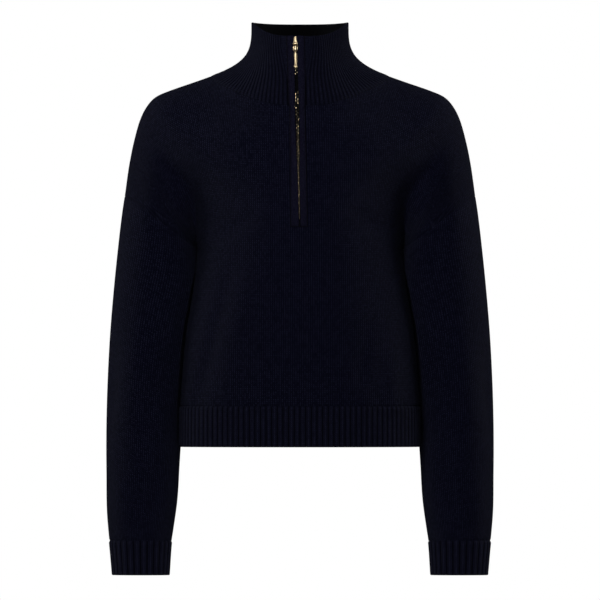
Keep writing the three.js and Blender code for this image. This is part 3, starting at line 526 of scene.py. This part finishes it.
def share_columns(face, low, top, sign):
    """x and z of columns that leave the underarm row at share low and end at share top."""
    line = NECK_FRONT if face == FRONT else NECK_BACK
    path_share = np.linspace(0, 1, len(line))
    end_x = np.where(top <= 1, np.interp(top, path_share, line[:, 0]),
                     np.interp(top - 1, path_share, RIDGE[:, 0]))
    end_z = np.where(top <= 1, np.interp(top, path_share, line[:, 1]),
                     np.interp(top - 1, path_share, RIDGE[:, 1]))
    low_x = section_x(LOW_ROWS, low, face)
    rise = UP_ROWS[:, None]
    x = np.vstack([low_x, lerp(low_x[-1:], end_x, rise)])
    z = np.vstack([np.repeat(LOW_ROWS[:, None], len(low), 1), lerp(UNDERARM, end_z, rise)])
    return sign * x, z


def band_columns(k, sign):
    """x and z of columns at fixed distances k from the zip's middle."""
    top_x = zip_x(COLLAR_SEAM) + sign * k
    z = np.vstack([np.repeat(LOW_ROWS[:, None], len(k), 1),
                   lerp(UNDERARM, neck_front_z(top_x), UP_ROWS[:, None])])
    return zip_x(z) + sign * k, z


def half_panel(face, sign):
    """One half, from the middle out: x, z and the share of each column's place on the upper edge."""
    out = 1 - (1 - np.linspace(0, 1, 62)[1:]) ** 1.35
    ridge_top, ridge_low = 1 + out, lerp(0.5, 1, out)
    if face == BACK:
        t = np.linspace(0, 1, 42)
        x, z = share_columns(face, np.concatenate([0.5 * t, ridge_low]),
                             np.concatenate([t, ridge_top]), sign)
        return x, z, np.concatenate([t, ridge_top])
    band_x, band_z = band_columns(np.linspace(SLIT, BAND_HALF, 6), sign)
    t = np.linspace(1 / 6, 1, 34)
    x, z = share_columns(face, np.concatenate([lerp(0.07, 0.5, t), ridge_low]),
                         np.concatenate([lerp(0.12, 1, t), ridge_top]), sign)
    f = np.linspace(0, 1, 9)[1:-1]
    joint_x = lerp(band_x[:, -1:], x[:, :1], f)
    joint_z = lerp(band_z[:, -1:], z[:, :1], f)
    top = np.concatenate([np.zeros(13), lerp(0.12, 1, t), ridge_top])
    return np.hstack([band_x, joint_x, x]), np.hstack([band_z, joint_z, z]), top


def panel(name, face):
    """A whole panel: both halves side by side, its wall, seam dips and stitch counts. Returns the
    points of its edge at the neck seam."""
    first, second = half_panel(face, face), half_panel(face, -face)
    skip = 0 if face == FRONT else 1
    x, z = (np.hstack([a[:, ::-1], b[:, skip:]]) for a, b in zip(first[:2], second[:2]))
    top = np.concatenate([first[2][::-1], second[2][skip:]])
    low = len(LOW_ROWS) - 1
    ridge = np.zeros(x.shape, bool)
    ridge[-1] = top >= 1
    points = body_point(x, z, face, ridge)
    normal = grid_normals(points)
    normal[0] = in_plane(normal[0], UPWARD)
    normal[-1] = in_plane(normal[-1], REARWARD)
    for column, sign in ((0, face), (-1, -face)):
        normal[:low + 1, column] = in_plane(normal[:low + 1, column], REARWARD)
        normal[low:, column] = in_plane(normal[low:, column], armhole_across(sign))
    normal[-1, top <= 1] = neck_normal(points[-1, top <= 1])
    middle = x.shape[1] // 2
    across, up = lengths(points, 1), lengths(points, 0)
    u = across - across[:, middle:middle + 1]
    edge = np.minimum(across, across[:, -1:] - across)
    corner = np.hypot(np.abs(x) - UNDERARM_HALF, z - UNDERARM)
    seam_pull = dip(np.minimum(np.minimum(edge, up), up[-1:] - up)) * smoothstep(corner, 2, 14)
    keep = np.ones((x.shape[0] - 1, x.shape[1] - 1), bool)
    if face == FRONT:
        slit_column = len(first[2]) - 1
        keep[z[:-1, slit_column] > SLIT_END, slit_column] = False
    obj = cloth(name, points - seam_pull[..., None] * normal, points - WALL * normal,
                u / WALE, up / COURSE, knit_navy, keep=keep)
    return points[-1, top <= 1]


front_neck = panel("body_front", FRONT)
back_neck = panel("body_back", BACK)


# Sleeves: the same knit, one piece each, sewn on at the dropped armhole and closed under the
# arm. Angle 0 is the outer side, and a quarter turn on is the front.
CUFF_SEAM, SEAM_FADE = -613, 170
SLEEVE = table(
    "z innerX innerZ middleY depth", (-165, 134, -234, 15, 54), (-200, 131.5, -258, 18, 54),
    (-250, 129.5, -292, 22, 54), (-310, 134, -336, 27, 53), (-380, 144.5, -394, 32, 51),
    (-450, 152.5, -455, 35, 49), (-510, 156.5, -511, 35, 46), (-560, 159.5, -560, 33, 42),
    (-600, 165, -600, 30, 37), (-613, 167, -613, 29, 35), (-658, 170.3, -658, 27, 32))
SLEEVE_FOLDS = table(
    "angle z0 z1 width rise", (0.5, -330, -500, 0.3, -3.5), (1.25, -300, -470, 0.35, 2.5),
    (-0.9, -360, -520, 0.35, -3), (2.1, -330, -430, 0.3, -2.5), (2.3, -255, -345, 0.22, -2.2),
    (-2.2, -265, -380, 0.25, -2.4), (0.95, -520, -606, 0.3, 2), (-0.4, -530, -606, 0.28, 1.8),
    (1.9, -500, -600, 0.25, -1.8))


def body_side(y, z):
    """Half width of the body at a height and a place from front to back:
    half * (1 - out^2.15)^(1/2.15)."""
    side = along(BODY, z, "side")
    depth = np.where(y < side, side - along(BODY, z, "front"), along(BODY, z, "back") - side)
    out = np.clip(np.abs(y - side) / depth, 0, 1)
    return along(BODY, z, "half") * (1 - out ** ROUNDNESS) ** (1 / ROUNDNESS)


def sleeve_point(sign, z, angle):
    """Rings that tilt from the armhole seam to level: an ellipse, folds along it, clear of the body."""
    z, angle = np.broadcast_arrays(np.asarray(z, float), angle)
    outer = (1 + np.cos(angle)) / 2
    level = lerp(along(SLEEVE, z, "innerZ"), z, outer)
    start_x, start_z = lerp(UNDERARM_HALF, ARMHOLE_HALF, outer), lerp(UNDERARM, ARMHOLE_TOP, outer)
    seam_y = along(BODY, start_z, "side") + np.where(
        np.sin(angle) >= 0, -reach(start_x, start_z, FRONT), reach(start_x, start_z, BACK))
    fade = 1 - smoothstep(ARMHOLE_TOP - z, 0, SEAM_FADE)
    x = lerp(along(SLEEVE, z, "innerX"), along(OUTLINE, z, "half"), outer)
    y = (along(SLEEVE, z, "middleY") - along(SLEEVE, z, "depth") * np.sin(angle)
         + (seam_y - SLEEVE["middleY"][0] + SLEEVE["depth"][0] * np.sin(angle)) * fade)
    for fold_angle, z0, z1, width, height in zip(*SLEEVE_FOLDS.values()):
        turn = (angle - fold_angle + math.pi) % (2 * math.pi) - math.pi
        swell = np.sin(math.pi * np.clip((z - z0) / (z1 - z0), 0, 1))
        rise = height * swell * np.exp(-(turn / width) ** 2)
        x, y = x + rise * np.cos(angle), y - rise * np.sin(angle)
    space = lerp(0.2, 3.4, smoothstep(UNDERARM - level, 25, 60))
    x = np.where(level < UNDERARM, np.maximum(x, body_side(y, level) + space), x)
    return np.stack([sign * x, y, level], -1)


def sleeve(name, sign):
    """A sleeve from rings of points, its seam dips and a whole number of wales round each ring."""
    angle = np.linspace(0, 2 * math.pi, 133)[:-1]
    down = np.linspace(0, 1, 170)
    z = lerp(ARMHOLE_TOP, CUFF_SEAM, lerp(down, smoothstep(down, 0, 1), 0.6))[:, None]
    points = sleeve_point(sign, z, angle)
    seam = armhole_across(sign)
    points = points - seam * SEAM_LAP * (1 - smoothstep(ARMHOLE_TOP - z, 0, 10))[..., None]
    normal = grid_normals(points, closed=True, facing=sign)
    normal[0] = in_plane(normal[0], seam)
    normal[-1] = in_plane(normal[-1], UPWARD)
    ring = np.concatenate([points, points[:, :1]], 1)
    u, v = lengths(ring, 1), lengths(ring, 0)
    pull = dip(np.minimum(v, v[-1:] - v))[:, :-1] * smoothstep(np.cos(angle), -1, -0.8)
    wales = np.round(u[:, -1:].mean() / WALE)
    obj = cloth(name, points - pull[..., None] * normal, points - WALL * normal,
                u / u[:, -1:] * wales, -v / COURSE, knit_navy, closed=True, facing=sign)


sleeve("sleeve_left", -1)
sleeve("sleeve_right", 1)


# Waistband and cuffs: ribbed wool knit, where two wales stand out and one sinks in at every rib.
# The waistband is two halves. Each is sewn to its own panel, and each cuff to its sleeve.
HEM_EDGE, CUFF_EDGE = -491, -658
RIB_HEIGHT, RIB_START = 0.95, 2.5
rib_navy = knit_material("rib_navy", (0.0001, 0.0002, 0.0035), (0.0185, 0.0195, 0.046), 0.4, ribs=True)


def rib(place):
    """Height at place, counted in ribs: 1 less a bell curve at the groove, which goes to 0, and
    less a faint one between the rib's two wales."""
    away = 0.5 - np.abs(place % 1 - 0.5)
    return 1 - np.exp(-(away / 0.16) ** 2) - 0.14 * np.exp(-((0.5 - away) / 0.07) ** 2)


def hem(name, face):
    """Half a waistband: rows of the panel's own section below the hem seam, raised by the ribs."""
    ribs, per_rib = 56, 8
    z = lerp(HEM_SEAM + SEAM_LAP, HEM_EDGE + WALL / 2, np.linspace(0, 1, 22) ** 1.2)[::-1]
    share = np.linspace(-1, 1, ribs * per_rib + 1) * -face
    half = section_x(z, np.abs(share), face)
    points = body_point(np.sign(share) * half, z[:, None], face)
    normal = in_plane(grid_normals(points), UPWARD)
    for column in (0, -1):
        normal[:, column] = in_plane(normal[:, column], REARWARD)
    up = lengths(points, 0)
    place = np.arange(ribs * per_rib + 1) / per_rib
    raised = RIB_HEIGHT * rib(place) * smoothstep(up[-1:] - up, 0, RIB_START) - dip(up[-1:] - up)
    obj = cloth(name, points + raised[..., None] * normal, points - WALL * normal,
                np.broadcast_to(place * WALES_PER_RIB, up.shape), up / COURSE, rib_navy,
                round_ends=(True, False))


def cuff(name, sign):
    """A cuff: the sleeve's rings carried on below its seam, raised by the ribs."""
    ribs, per_rib = 28, 10
    angle = np.linspace(0, 2 * math.pi, ribs * per_rib + 1)[:-1]
    z = lerp(CUFF_SEAM + SEAM_LAP, CUFF_EDGE + WALL / 2, np.linspace(0, 1, 20) ** 1.2)[:, None]
    points = sleeve_point(sign, z, angle)
    normal = in_plane(grid_normals(points, closed=True, facing=sign), UPWARD)
    place = np.arange(ribs * per_rib + 1) / per_rib
    down = lengths(np.concatenate([points, points[:, :1]], 1), 0)
    raised = (RIB_HEIGHT * rib(place) * smoothstep(down, 0, RIB_START) - dip(down))[:, :-1]
    obj = cloth(name, points + raised[..., None] * normal, points - WALL * normal,
                np.broadcast_to(place * WALES_PER_RIB, down.shape), -down / COURSE, rib_navy,
                closed=True, facing=sign, round_ends=(False, True))


hem("hem_front", FRONT)
hem("hem_back", BACK)
cuff("cuff_left", -1)
cuff("cuff_right", 1)


# Collar: a funnel of ribbed wool knit in one layer, sewn to the neck seam and open at the front
# for the zip. Distances run from the zip round the back to the zip again.
COLLAR_HEIGHT = 105
RIM_HALF, RIM_MIDDLE, RIM_FORWARD, RIM_BACKWARD = 62.4, -4, 60, 56
RIM_BACK, RIM_SIDE = 58.5, 60.5


def measured(points):
    """A line's points with the distance along it."""
    return points, lengths(points[None], 1)[0]


def at_distance(line, distance):
    """The places that lie at distances along a measured line, straight between its points."""
    points, arc = line
    return np.stack([np.interp(distance, arc, points[:, k]) for k in range(3)], -1)


half = len(front_neck) // 2
NECK = measured(np.vstack([front_neck[half:], back_neck[1:-1], front_neck[:half]]))
turn = np.linspace(math.asin((ZIP_TOP_X + SLIT) / RIM_HALF),
                   2 * math.pi + math.asin((ZIP_TOP_X - SLIT) / RIM_HALF), 1201)
forward = np.cos(turn)
RIM = measured(np.stack([
    RIM_HALF * np.sin(turn), RIM_MIDDLE - forward * np.where(forward > 0, RIM_FORWARD, RIM_BACKWARD),
    lerp(np.where(forward > 0, RIM_FRONT, RIM_BACK), RIM_SIDE, np.abs(np.sin(turn)) ** 3.4)], -1))


def collar_point(base, rim, rise, flare):
    """base to rim: z straight, x and y by 1 - (1 - rise)^flare, which turns it up at once."""
    inward = 1 - (1 - rise) ** flare
    return np.concatenate([lerp(base[..., :2], rim[..., :2], inward[..., None]),
                           lerp(base[..., 2:], rim[..., 2:], rise[..., None])], -1)


per_rib, band = 8, BAND_HALF - SLIT
share = np.linspace(0, 1, COLLAR_RIBS * per_rib + 1)
base_at, rim_at = (np.concatenate([
    np.linspace(0, band, 7)[:-1], lerp(band, line[1][-1] - band, share),
    np.linspace(line[1][-1] - band, line[1][-1], 7)[1:]]) for line in (NECK, RIM))
rise = (np.linspace(0, 1, 40) ** 1.15)[:, None]
rise = rise * (1 - WALL / 2 / COLLAR_HEIGHT)
round_share = np.minimum(base_at, NECK[1][-1] - base_at) / (NECK[1][-1] / 2)
flare = 1 + 2.8 * smoothstep(round_share, 0.1, 0.5) - 1.4 * smoothstep(round_share, 0.55, 1)
points = collar_point(at_distance(NECK, base_at), at_distance(RIM, rim_at),
                      *np.broadcast_arrays(rise, flare))
lap = unit(points[1] - points[0]) * SEAM_LAP
points = points - lap * (1 - smoothstep(rise, 0, 0.05))[..., None]
normal = grid_normals(points)
normal[0] = neck_normal(points[0])
up = lengths(points, 0)
spare = 0.02 * smoothstep(rise, 0.35, 1)
share = np.concatenate([np.zeros(6), share, np.ones(6)])
along_ribs = (share - spare) / (1 - 2 * spare) * COLLAR_RIBS
place = np.clip(along_ribs, 0, COLLAR_RIBS)
raised = 0.85 * rib(place) * smoothstep(up, 0, 7) - 0.35 * dip(up)
# The collar's inner wall gets full painted shade, near black inside the neck.
collar = cloth("collar", points + raised[..., None] * normal, points - WALL * normal,
               along_ribs * WALES_PER_RIB, up / COURSE, rib_navy,
               round_ends=(False, True), shade=(0, 1))


# Bands beside the zip: smooth flat strips of close knit, sewn over the edges of the front's slit
# and of the collar, with a groove along their outer stitching. k is the distance from the zip's
# middle, left and right as seen, and widths are tables of it by height.
BAND_END, EDGE_ROUND, STITCHING = -205.4, 0.8, 1.9
BAND_WALE, BAND_COURSE = 1.1, 0.9
band_navy = knit_material("band_navy", (0.0012, 0.0011, 0.0075), (0.035, 0.0335, 0.067), 0.2)


def band_point(k, level):
    """Beside the zip at k: levels 0 to 1 on the front, 1 to 2 on the collar."""
    k, level = np.broadcast_arrays(np.asarray(k, float), np.asarray(level, float))
    top_z = neck_front_z(zip_x(COLLAR_SEAM) + k)
    z = lerp(UNDERARM, top_z, np.clip(level, 0, 1))
    low = body_point(zip_x(z) + k, z, FRONT)
    places = []
    for line in (NECK, RIM):
        total = line[1][-1]
        places.append(np.where(
            np.abs(k)[..., None] < SLIT,
            lerp(line[0][-1], line[0][0], ((k + SLIT) / (2 * SLIT))[..., None]),
            at_distance(line, np.where(k > 0, k - SLIT, total + k + SLIT))))
    high = lerp(places[0], places[1], np.clip(level - 1, 0, 1)[..., None])
    return np.where(level[..., None] > 1, high, low)


def level_of(z):
    """Level of a height along the zip: 0 at the underarm, 1 at the neck seam, 2 at the rim."""
    return np.where(z <= COLLAR_SEAM, (z - UNDERARM) / (COLLAR_SEAM - UNDERARM),
                    1 + (z - COLLAR_SEAM) / (RIM_FRONT - COLLAR_SEAM))


def strip_normals(level):
    """One direction off the cloth for each level, shared by all that lies along the zip."""
    step = 0.004
    right = band_point(SLIT, level) - band_point(-SLIT, level)
    rise = band_point(0, np.minimum(level + step, 2)) - band_point(0, level - step)
    return unit(np.cross(right, rise))


BAND_EDGE = table("z k", (44, 1.2), (-1, 1.2), (-8, 1.3), (-26, 1.4), (-32, 1.8), (-50, 2),
                  (-100, 1.8), (-128, 0.8), (-150, 0.5), (-190, 0.4), (-198, 0.12), (-206, 0.12))
BAND_SIDE = table("z left right", (44, 12.5, 12.5), (-13, 11.6, 12), (-48, 11.4, 10.8), (-50, 9.9, 10.6),
                  (-120, 11, 10.6), (-206, 12.4, 10.6))


def placket(name, sign):
    """A band: a flat strip whose edges round over by sqrt(1 - (1 - t)^2), with painted shade along its
    edges, its end and its stitching groove.
    """
    low, mm = level_of(BAND_END), 1 / (COLLAR_SEAM - UNDERARM)
    level = np.concatenate([low + np.array([0, 0.03, 0.12, 0.3, 0.6, 1, 1.4, 1.9, 2.4, 3]) * mm,
                            np.linspace(low + 4 * mm, 2, 230)])
    z = np.where(level > 1, lerp(COLLAR_SEAM, RIM_FRONT, level - 1), lerp(UNDERARM, COLLAR_SEAM, level))
    inner = np.interp(z, BAND_EDGE["z"][::-1], BAND_EDGE["k"][::-1])
    across = np.array([0, 0.03, 0.12, 0.3, 0.6, 1.0, 1.4, 3, 5, 7, 8.1, 8.5, 8.75, 9.1, 9.5, 9.9,
                       10.2, 10.4, 10.52, 10.57, 10.6])
    outer = np.interp(z, BAND_SIDE["z"][::-1], BAND_SIDE[name.split("_")[1]][::-1])[:, None]
    k = lerp(inner[:, None], outer, across / across[-1])
    from_edge = np.minimum(k - inner[:, None], outer - k)
    from_end = (z - BAND_END)[:, None]
    swell = np.sqrt(1 - (1 - np.clip(np.minimum(from_edge, from_end) / EDGE_ROUND, 0, 1)) ** 2)
    sewn = np.exp(-((np.minimum(outer - k, from_end) - STITCHING) / 0.5) ** 2)
    # Painted shade: near black within about a millimetre of the band's edges and end, and a little along
    # the stitching groove.
    shade = np.maximum(1 - smoothstep(np.minimum(from_edge, from_end), 0.5, 1.3), 0.35 * sewn)
    normal = strip_normals(level)[:, None]
    points = band_point(sign * k, level[:, None])
    swell = swell - 0.5 * sewn
    if sign < 0:
        points, k, swell, shade = points[:, ::-1], k[:, ::-1], swell[:, ::-1], shade[:, ::-1]
    up = lengths(points, 0)
    obj = cloth(name, points + normal * (0.9 + 0.6 * swell)[..., None],
                points + normal * (0.85 - 0.5 * swell)[..., None],
                sign * k / BAND_WALE, up / BAND_COURSE, band_navy, shade=(shade, 0))


placket("placket_left", -1)
placket("placket_right", 1)


# Zip: woven tapes sewn behind the bands, near black from their own dark colour and painted shade
# of the slit, and a closed row of small teeth of gold metal clamped on the tapes' edges.
LOWEST_TOOTH, TOP_TOOTH, PITCH = -196.2, 33, 2.2
DARK_FROM, DARK_TO = -31, -9
tape = bpy.data.materials.new("tape")
tape.use_nodes = True
shader = tape.node_tree.nodes["Principled BSDF"]
# Near black: the tape's own dark colour with painted shade of the zip's slit.
shader.inputs["Base Color"].default_value = (0.001, 0.001, 0.002, 1)
shader.inputs["Roughness"].default_value = 0.9
shader.inputs["Specular IOR Level"].default_value = 0.1
for side in ("left", "right"):
    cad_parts[f"zip_tape_{side}"].data.materials[0] = tape

gold = bpy.data.materials.new("gold")
gold.use_nodes = True
shader = gold.node_tree.nodes["Principled BSDF"]
shader.inputs["Base Color"].default_value = (0.62, 0.49, 0.3, 1)
shader.inputs["Metallic"].default_value = 1.0
shader.inputs["Roughness"].default_value = 0.28


def solid_mesh(name, points, faces, material, body="garment", sharp=40):
    """A hard piece from points in mm and faces, riding on its body."""
    mesh = bpy.data.meshes.new(name)
    mesh.from_pydata((points * MM).tolist(), [], faces)
    mesh.validate()
    mesh.shade_smooth()
    mesh.set_sharp_from_angle(angle=math.radians(sharp))
    mesh.materials.append(material)
    obj = bpy.data.objects.new(name, mesh)
    bpy.context.collection.objects.link(obj)
    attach(obj, body)
    return obj


def teeth():
    """Blocks with bevelled fronts, one at every pitch, in turn on the left and the right, each
    front tipped a little so it glints in its own way. They lie deeper where the bands close
    over them, and the dark stretch of the slit has none."""
    z = np.arange(LOWEST_TOOTH, TOP_TOOTH, PITCH)
    z = z[(z < DARK_FROM) | (z > DARK_TO)]
    below = z < DARK_FROM
    side = np.where(np.arange(len(z)) % 2, 1, -1)[:, None]
    level = level_of(z)
    normal = strip_normals(level)
    rise = unit(band_point(0, level + 0.01) - band_point(0, level - 0.01))
    right = unit(band_point(SLIT, level) - band_point(-SLIT, level))
    proud = np.interp(z, [-197, -150, -105, -60, -50, -8], [-0.9, -0.6, 0.7, 0.8, 0.9, 1.1])
    middle = band_point(0, level) + normal * proud[:, None]
    parted = smoothstep(z, -64, -50) * below
    out = (np.interp(z, [-150, -115], [0.3, 0.9]) + 0.55 * parted)[:, None]
    half_w = lerp(0.5, 0.32, parted)[:, None]
    half_h = lerp(0.5, 1.4, parted)[:, None]
    tilt = np.random.default_rng(7).uniform(-0.5, 0.5, (len(z), 2, 1)) ** 3 * below[:, None, None]
    layers = []
    for inset, depth in ((0, -1.6), (0, -0.4), (0.2, 0)):
        for a, b in ((-1, -1), (1, -1), (1, 1), (-1, 1)):
            tip = (depth == 0) * (a * tilt[:, 0] + b * tilt[:, 1])
            layers.append(middle + right * (side * out + a * (half_w - inset))
                          + rise * b * (half_h - inset) + normal * (depth + tip))
    points = np.stack(layers, 1)
    quads = [(3, 2, 1, 0), (8, 9, 10, 11)]
    for low in (0, 4):
        quads += [(low + k, low + (k + 1) % 4, low + 4 + (k + 1) % 4, low + 4 + k) for k in range(4)]
    start = 12 * np.arange(len(z))[:, None, None]
    faces = (start + np.array(quads)[None]).reshape(-1, 4)
    obj = solid_mesh("zip_teeth", points.reshape(-1, 3), faces.tolist(), gold, sharp=25)
    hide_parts("zip_chain")


teeth()


# Slider and pull: turned and domed shapes of gold metal in the slider's own axes, x across, y into
# the cloth and z up the zip. The slider grips the teeth, and the pull hangs on its bar.
SLIDER_Z, PULL_LEAN = 36, math.radians(2.2)
slider_level = level_of(SLIDER_Z)
up_zip = unit(band_point(0, 2) - band_point(0, 1))
into = unit(np.cross(up_zip, band_point(1, slider_level) - band_point(-1, slider_level)))
AXES = np.stack([np.cross(into, up_zip), into, up_zip])
BAR = np.array([0, -5.5, -4.9])


def tube(rows, sides=24, squash=1.0, lengthwise=True):
    """Rings of a radius at each place along an axis, z or x: (r cos a, squash r sin a, place).
    A radius of 0.01 draws an end together."""
    rows = np.array(rows, float)
    angle = np.linspace(0, 2 * math.pi, sides, endpoint=False)
    a, b = rows[:, :1] * np.cos(angle), rows[:, :1] * np.sin(angle) * squash
    c = np.broadcast_to(rows[:, 1:], a.shape)
    points = np.stack([a, b, c] if lengthwise else [c, a, b], -1).reshape(-1, 3)
    i = np.arange(len(rows) - 1)[:, None] * sides
    j, n = np.arange(sides), (np.arange(sides) + 1) % sides
    faces = np.stack([i + j, i + n, i + sides + n, i + sides + j], -1).reshape(-1, 4)
    return points, faces


def domed_plate(rows, back, front, dome):
    """A plate of half widths at heights, flat at y = back. Its front is y = front in the middle
    and falls back by dome * (1 - sqrt(1 - across^4) sqrt(width / widest)) towards its edges."""
    rows = np.array(rows, float)
    across = np.array([-1, -0.93, -0.75, -0.4, 0, 0.4, 0.75, 0.93, 1])
    x = rows[:, 1:] * across
    z = np.broadcast_to(rows[:, :1], x.shape)
    swell = np.sqrt(np.clip(1 - across ** 4, 0, 1)) * np.sqrt(rows[:, 1:] / rows[:, 1].max())
    face = np.stack([x, front + dome * (1 - swell), z], -1)
    rear = np.stack([x, 0 * x + back, z], -1)
    ring = np.concatenate([face, rear[:, ::-1]], 1)
    count = ring.shape[1]
    i = np.arange(len(rows) - 1)[:, None] * count
    j, n = np.arange(count), (np.arange(count) + 1) % count
    faces = np.stack([i + j, i + n, i + count + n, i + count + j], -1).reshape(-1, 4)
    return ring.reshape(-1, 3), faces


def in_slider(shapes, shift=np.zeros(3), lean=0.0):
    """Shapes joined and moved from the slider's axes, after a lean about x, to the garment's."""
    cos, sin = math.cos(lean), math.sin(lean)
    turn_x = np.array([[1, 0, 0], [0, cos, sin], [0, -sin, cos]])
    points, faces, count = [], [], 0
    for shape_points, shape_faces in shapes:
        points.append((shape_points @ turn_x + shift) @ AXES + band_point(0, slider_level))
        faces += (shape_faces + count).tolist()
        count += len(shape_points)
    return np.vstack(points), faces


def end_cap(radius, start, stop):
    """Rows of a plain round bar with its ends closed."""
    return [(0.01, start), (radius * 0.8, start), (radius, start + 0.25), (radius, stop - 0.25),
            (radius * 0.8, stop), (0.01, stop)]


# Heights and half widths of the slider
SLIDER_SHAPE = [(-6.7, 0.3), (-6.5, 1.6), (-5.6, 2.4), (-4, 2.7), (-2, 2.6), (-0.6, 2.1), (1, 1.9),
                (3.2, 1.95), (4.6, 1.8), (5.3, 1.3), (5.6, 0.3)]
slider_shapes = [domed_plate(SLIDER_SHAPE, -1.8, -3.6, 0.6), domed_plate(SLIDER_SHAPE, 4.9, 3.6, 0.0),
                 domed_plate([(3.4, 1.1), (5.8, 1.1)], 3.6, -1.8, 0.0)]
for sign in (-1, 1):
    rows = [(r, sign * x) for r, x in end_cap(1.6, 2.1, 2.8)]
    points, faces = tube(rows, lengthwise=False)
    slider_shapes.append((points + BAR, faces if sign > 0 else faces[:, ::-1]))
    points, faces = domed_plate([(-1.6, 0.35), (1.6, 0.35)], 2.2, 0.0, 0.0)
    slider_shapes.append((points + BAR + [sign * 2.4, 0, 0], faces))
points, faces = tube([(0.8, -2.5), (0.8, 2.5)], lengthwise=False)
slider_shapes.append((points + BAR, faces))
points, faces = in_slider(slider_shapes)
slider = solid_mesh("slider_metal", points, faces, gold)
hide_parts("zip_slider")

# Radii and heights of the pull, from its end to its head below the bar
PULL_SHAPE = [(0.01, -33.8), (1.0, -33.6), (1.9, -32.6), (2.3, -31.2), (2.15, -29.8), (1.5, -28.4),
              (1.45, -27), (1.6, -22), (1.9, -15), (1.95, -13.2), (1.3, -12.7), (1.3, -12),
              (1.9, -11.4), (2, -10), (2.9, -9), (3.1, -7.8), (3.1, -4.6), (2.7, -3.2), (1.6, -1.6),
              (0.01, -1.2)]
barrel = tube([(1.1, -1.9), (1.7, -1.9), (1.8, -1.7), (1.8, 1.7), (1.7, 1.9), (1.1, 1.9), (1.1, -1.9)],
              lengthwise=False)
points, faces = in_slider([tube(PULL_SHAPE, squash=0.8), barrel], BAR, PULL_LEAN)
pull = solid_mesh("pull_metal", points, faces, gold, body="pull_tab")
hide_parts("zip_pull")
